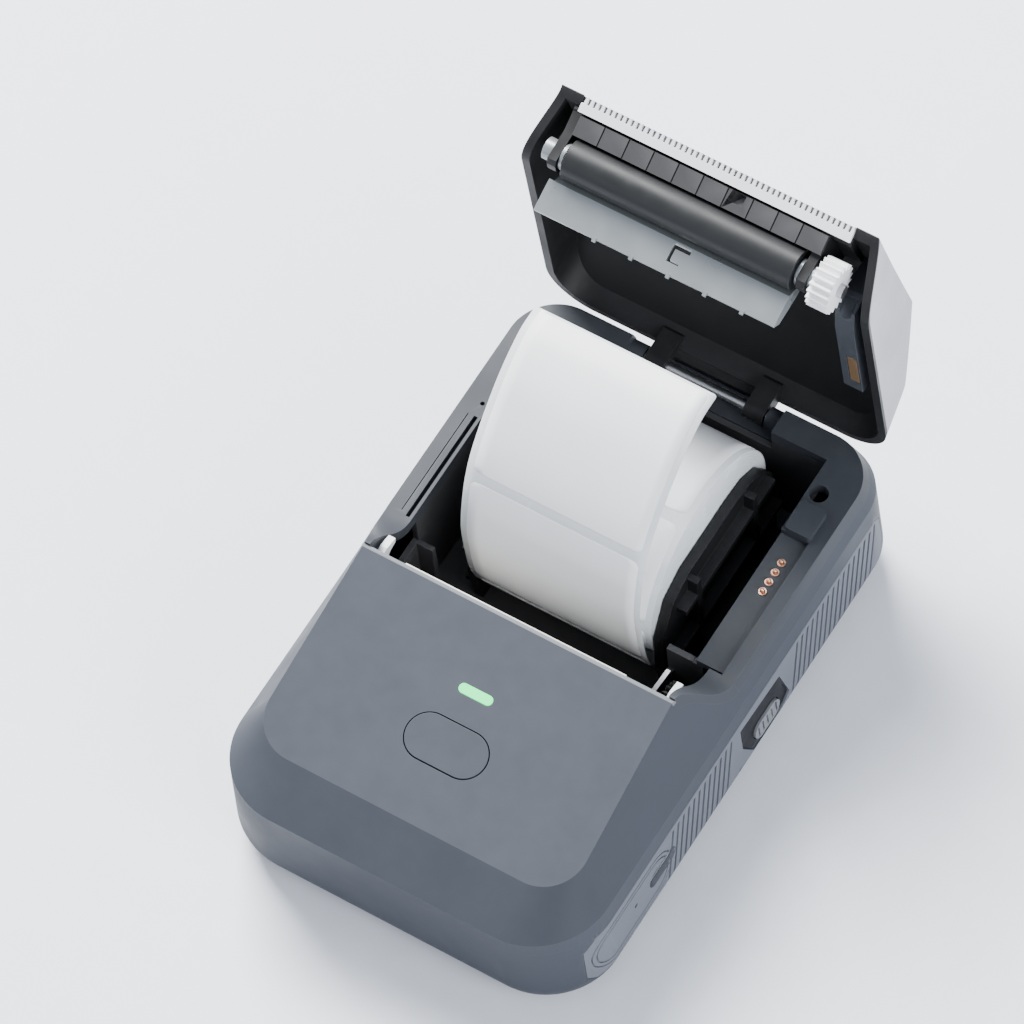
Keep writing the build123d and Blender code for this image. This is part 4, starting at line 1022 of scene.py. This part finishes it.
class Dresser:
    """Gives the frame's nodes their finishes and skins.

    A skin is a copy of the node with its triangles merged and its edges rounded, so that the
    moulded edges catch the light as they do on the real printer.
    """

    def __init__(self, frame: dict, finishes: FinishLibrary) -> None:
        """Keep the frame's nodes and their slots.

        Args:
            finishes: The finish library.
        """
        self.nodes: Dict[str, bpy.types.Object] = frame["nodes"]
        parts = frame["record"]["subparts"]
        self.slots: Dict[str, str] = {part["node"]: part["material_slot"] for part in parts}
        self.finishes = finishes
        self.bare: Set[str] = set(self.nodes)

    def paint(self, name: str) -> None:
        """Give a node its finish.

        Args:
            name: Node name.
        """
        materials = self.nodes[name].data.materials
        materials.clear()
        materials.append(self.finishes.material(self.slots[name]))
        self.bare.discard(name)
        LOG.info("node %s wears %s", name, self.slots[name])

    @staticmethod
    def _merged_copy(name: str, source: bpy.types.Mesh) -> bpy.types.Mesh:
        """Copy a node's mesh, join its loose triangles and take out flat edges.

        Args:
            name: Name of the copy.
            source: The node's mesh.

        Returns:
            The copy.
        """
        mesh = bpy.data.meshes.new(name)
        work = bmesh.new()
        work.from_mesh(source)
        bmesh.ops.remove_doubles(work, verts=work.verts, dist=MERGE_DISTANCE)
        bmesh.ops.dissolve_degenerate(work, edges=work.edges, dist=MERGE_DISTANCE)
        bmesh.ops.dissolve_limit(
            work,
            angle_limit=math.radians(FLAT_ANGLE),
            verts=work.verts,
            edges=work.edges,
            delimit={"NORMAL"},
        )
        work.to_mesh(mesh)
        work.free()
        return mesh

    def skin(self, name: str, width: float, smooth: float) -> None:
        """Make the finished skin of a node.

        Args:
            name: Node name.
            width: Rounding of the edges, mm; 0 leaves them sharp.
            smooth: Largest angle that is shaded smooth, radians.
        """
        node, slot = self.nodes[name], self.slots[name]
        mesh = self._merged_copy(f"{name}_skin", node.data)
        mesh.polygons.foreach_set("use_smooth", np.ones(len(mesh.polygons), dtype=bool))
        mesh.set_sharp_from_angle(angle=smooth)
        mesh.materials.append(self.finishes.material(slot))
        skin = bpy.data.objects.new(f"{name}_skin", mesh)
        bpy.context.scene.collection.objects.link(skin)
        if width > 0:
            bevel = skin.modifiers.new("edge", "BEVEL")
            bevel.width = width * MM
            bevel.segments = BEVEL_SEGMENTS
            bevel.limit_method = "ANGLE"
            bevel.angle_limit = max(smooth, math.radians(BEVEL_ANGLE))
            bevel.use_clamp_overlap = True
            bevel.harden_normals = True
        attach(skin, node["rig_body"])
        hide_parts(name)


@dataclass
class SubAssembly:
    """Nodes that are dressed together.

    Args:
        title: Name in the log.
        edges: Nodes that get a skin, and the rounding of their edges in mm, 0 for sharp ones.
        plain: Nodes that take a finish only, hidden inside or replaced by other pieces.
        creased: Nodes with shallow creases, and the largest angle shaded smooth, degrees.
        smooth_angle: Largest angle shaded smooth on the others, degrees.
    """

    title: str
    edges: Dict[str, float] = field(default_factory=dict)
    plain: Tuple[str, ...] = ()
    creased: Dict[str, float] = field(default_factory=dict)
    smooth_angle: float = 32.0

    def build(self, dresser: Dresser) -> None:
        """Dress the nodes.

        Args:
            dresser: Gives finishes and skins.
        """
        for name in (*self.plain, *self.edges):
            dresser.paint(name)
        for name, width in self.edges.items():
            smooth = math.radians(self.creased.get(name, self.smooth_angle))
            dresser.skin(name, width, smooth)
        LOG.info("%s dressed, %d skins", self.title, len(self.edges))


@dataclass
class Case(SubAssembly):
    """The case halves with their grips, buttons, light, port and screws."""

    title: str = "case"
    edges: Dict[str, float] = field(default_factory=lambda: {
        "lower_case": 0.25, "upper_case": 0.25, "left_grip": 0.08, "right_grip": 0.08,
        "release_bezel": 0.1, "release_button": 0.12, "power_button": 0.12, "light_pipe": 0.12,
        "usb_port": 0.05, "case_screws": 0.05,
    })
    plain: Tuple[str, ...] = ("release_lever",)
    creased: Dict[str, float] = field(default_factory=lambda: {"upper_case": 11.0})


@dataclass
class PaperBay(SubAssembly):
    """The bay with its deck, contacts, catch and roll holders."""

    title: str = "paper bay"
    edges: Dict[str, float] = field(default_factory=lambda: {
        "deck_frame": 0.2, "paper_bay": 0.15, "contact_plate": 0.1, "contact_barrels": 0.05,
        "contact_pins": 0.0, "latch_shaft": 0.0, "hook_left": 0.1, "hook_right": 0.1,
        "holder_left": 0.2, "holder_right": 0.2, "hub_left": 0.1, "hub_right": 0.1,
        "rack_left": 0.05, "rack_right": 0.05, "holder_pinion": 0.0, "roll_core": 0.0,
    })
    plain: Tuple[str, ...] = ("label_roll", "label_strip")


@dataclass
class Cover(SubAssembly):
    """The hinged cover with its platen, tear bar, guide and contact arm."""

    title: str = "cover"
    edges: Dict[str, float] = field(default_factory=lambda: {
        "cover_shell": 0.2, "cover_liner": 0.15, "tear_bar": 0.04, "exit_plate": 0.05,
        "platen_frame": 0.1, "guide_plate": 0.06, "media_sensor": 0.08, "platen_rubber": 0.15,
        "platen_shaft": 0.1, "bush_left": 0.1, "bush_right": 0.1, "platen_gear": 0.06,
        "contact_arm": 0.15, "pad_board": 0.05, "hinge_pin": 0.0,
    })
    creased: Dict[str, float] = field(default_factory=lambda: {"cover_shell": 14.0})


@dataclass
class Drive(SubAssembly):
    """The print head and the motor with its gears."""

    title: str = "drive"
    edges: Dict[str, float] = field(default_factory=lambda: {
        "head_bracket": 0.06, "head_springs": 0.0, "head_sink": 0.08, "print_head": 0.05,
        "stepper_motor": 0.1, "gear_plate": 0.05, "motor_pinion": 0.0, "idler_gear": 0.0,
        "drive_gear": 0.05,
    })


@dataclass
class Electronics(SubAssembly):
    """The battery and the boards, all hidden in the case."""

    title: str = "electronics"
    plain: Tuple[str, ...] = (
        "battery_pack", "main_board", "board_parts", "key_board", "port_board",
    )


@dataclass(frozen=True)
class SoftBox:
    """A square light aimed at the printer.

    Args:
        name: Light name.
        place: Position, metres.
        size: Edge length, metres.
        power: Power, watts.
        colour: Light colour.
    """

    name: str
    place: Tuple[float, float, float]
    size: float
    power: float
    colour: Colour

    def build(self) -> None:
        """Make the light."""
        data = bpy.data.lights.new(self.name, "AREA")
        data.shape = "SQUARE"
        data.size = self.size
        data.energy = self.power
        data.color = self.colour
        obj = bpy.data.objects.new(self.name, data)
        obj.location = self.place
        direction = Vector(LIGHT_AIM) - Vector(self.place)
        obj.rotation_euler = direction.to_track_quat("-Z", "Y").to_euler()
        bpy.context.scene.collection.objects.link(obj)
        LOG.info("light %s, %.1f W", self.name, self.power)


@dataclass
class Studio:
    """The floor, sky, lights and camera.

    Args:
        azimuth: Camera azimuth, degrees.
        elevation: Camera elevation, degrees.
        roll: Camera roll, degrees.
        focal: Focal length in pixels of the picture.
        distance: Camera distance, mm.
        target: Point on the optical axis, front-edge mm.
        shift: Offset of that point from the picture's centre, pixels right and down.
        lights: The soft boxes.
    """

    azimuth: float = 37.515
    elevation: float = 61.769
    roll: float = 7.049
    focal: float = FOCAL_PIXELS
    distance: float = FOCAL_PIXELS / PIXELS_PER_MM
    target: Tuple[float, float, float] = (0.0, 60.0, 25.0)
    shift: Tuple[float, float] = (23.26, 145.08)
    lights: Tuple[SoftBox, ...] = (
        SoftBox("key", (-0.95, 0.75, 1.25), 0.9, 128.0, (1.0, 0.995, 0.985)),
        SoftBox("fill", (1.35, -0.35, 0.8), 1.0, 30.0, (0.94, 0.97, 1.0)),
        SoftBox("front", (-0.5, -1.3, 0.7), 0.8, 2.5, (0.94, 0.97, 1.0)),
    )

    def camera(self) -> None:
        """Make the camera at the photo's viewing angle."""
        az, el, roll = (math.radians(v) for v in (self.azimuth, self.elevation, self.roll))
        flat = math.cos(el)
        back = np.array([math.sin(az) * flat, -math.cos(az) * flat, math.sin(el)])
        right = np.array([math.cos(az), math.sin(az), 0.0])
        up = np.cross(back, right)
        rolled_right = math.cos(roll) * right - math.sin(roll) * up
        rolled_up = math.sin(roll) * right + math.cos(roll) * up
        aim = -back * self.focal - rolled_right * self.shift[0] + rolled_up * self.shift[1]
        aim /= np.linalg.norm(aim)
        side = np.cross(rolled_up, -aim)
        side /= np.linalg.norm(side)
        turned = np.stack([side, np.cross(-aim, side), -aim], axis=1)
        centre = np.array(self.target) - np.array([0.0, BODY_LENGTH / 2, 0.0])
        matrix = np.eye(4)
        matrix[:3, :3] = turned
        matrix[:3, 3] = (centre + back * self.distance) * MM
        data = bpy.data.cameras.new("view")
        data.sensor_width = SENSOR_WIDTH
        data.lens = SENSOR_WIDTH * self.focal / PICTURE_PIXELS
        data.clip_start = 0.05
        data.clip_end = 20.0
        camera = bpy.data.objects.new("view", data)
        camera.matrix_world = Matrix(matrix.tolist())
        bpy.context.scene.collection.objects.link(camera)
        bpy.context.scene.camera = camera
        LOG.info("camera, %.1f mm lens", data.lens)

    @staticmethod
    def floor(finishes: FinishLibrary) -> None:
        """Make the pale floor.

        Args:
            finishes: The finish library.
        """
        corners = np.array([[-1.0, -1.0, 0.0], [1.0, -1.0, 0.0], [1.0, 1.0, 0.0], [-1.0, 1.0, 0.0]])
        quad = np.array([[0, 1, 2, 3]])
        floor = MeshMaker.build("floor", corners * FLOOR_HALF, quad, smooth=False)
        floor.data.materials.append(finishes.material("floor"))
        floor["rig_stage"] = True

    @staticmethod
    def sky() -> None:
        """Make the even light from all round."""
        world = bpy.data.worlds.new("studio")
        world.use_nodes = True
        background = world.node_tree.nodes["Background"]
        background.inputs["Color"].default_value = SKY_COLOUR
        background.inputs["Strength"].default_value = SKY_STRENGTH
        bpy.context.scene.world = world

    def build(self, finishes: FinishLibrary) -> None:
        """Build the studio.

        Args:
            finishes: The finish library.
        """
        self.floor(finishes)
        for light in self.lights:
            light.build()
        self.sky()
        self.camera()


def write_bounds(name: str, store: Dict[str, list]) -> None:
    """Measure the box of the model and keep it in the store under a name.

    Args:
        name: Key of this measurement.
        store: What is kept so far.
    """
    store[name] = [list(map(float, corner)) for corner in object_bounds()]


def main() -> None:
    """Build the scene."""
    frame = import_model()
    sizes: Dict[str, list] = {}
    write_bounds("frame", sizes)
    finishes = FinishLibrary(FINISHES)
    dresser = Dresser(frame, finishes)
    for assembly in (Case(), PaperBay(), Cover(), Drive(), Electronics()):
        assembly.build(dresser)
    LOG.info("nodes without a finish: %s", sorted(dresser.bare) or "none")
    LabelPaper().build(finishes)
    Studio().build(finishes)
    write_bounds("dressed", sizes)


if __name__ == "__main__":
    main()
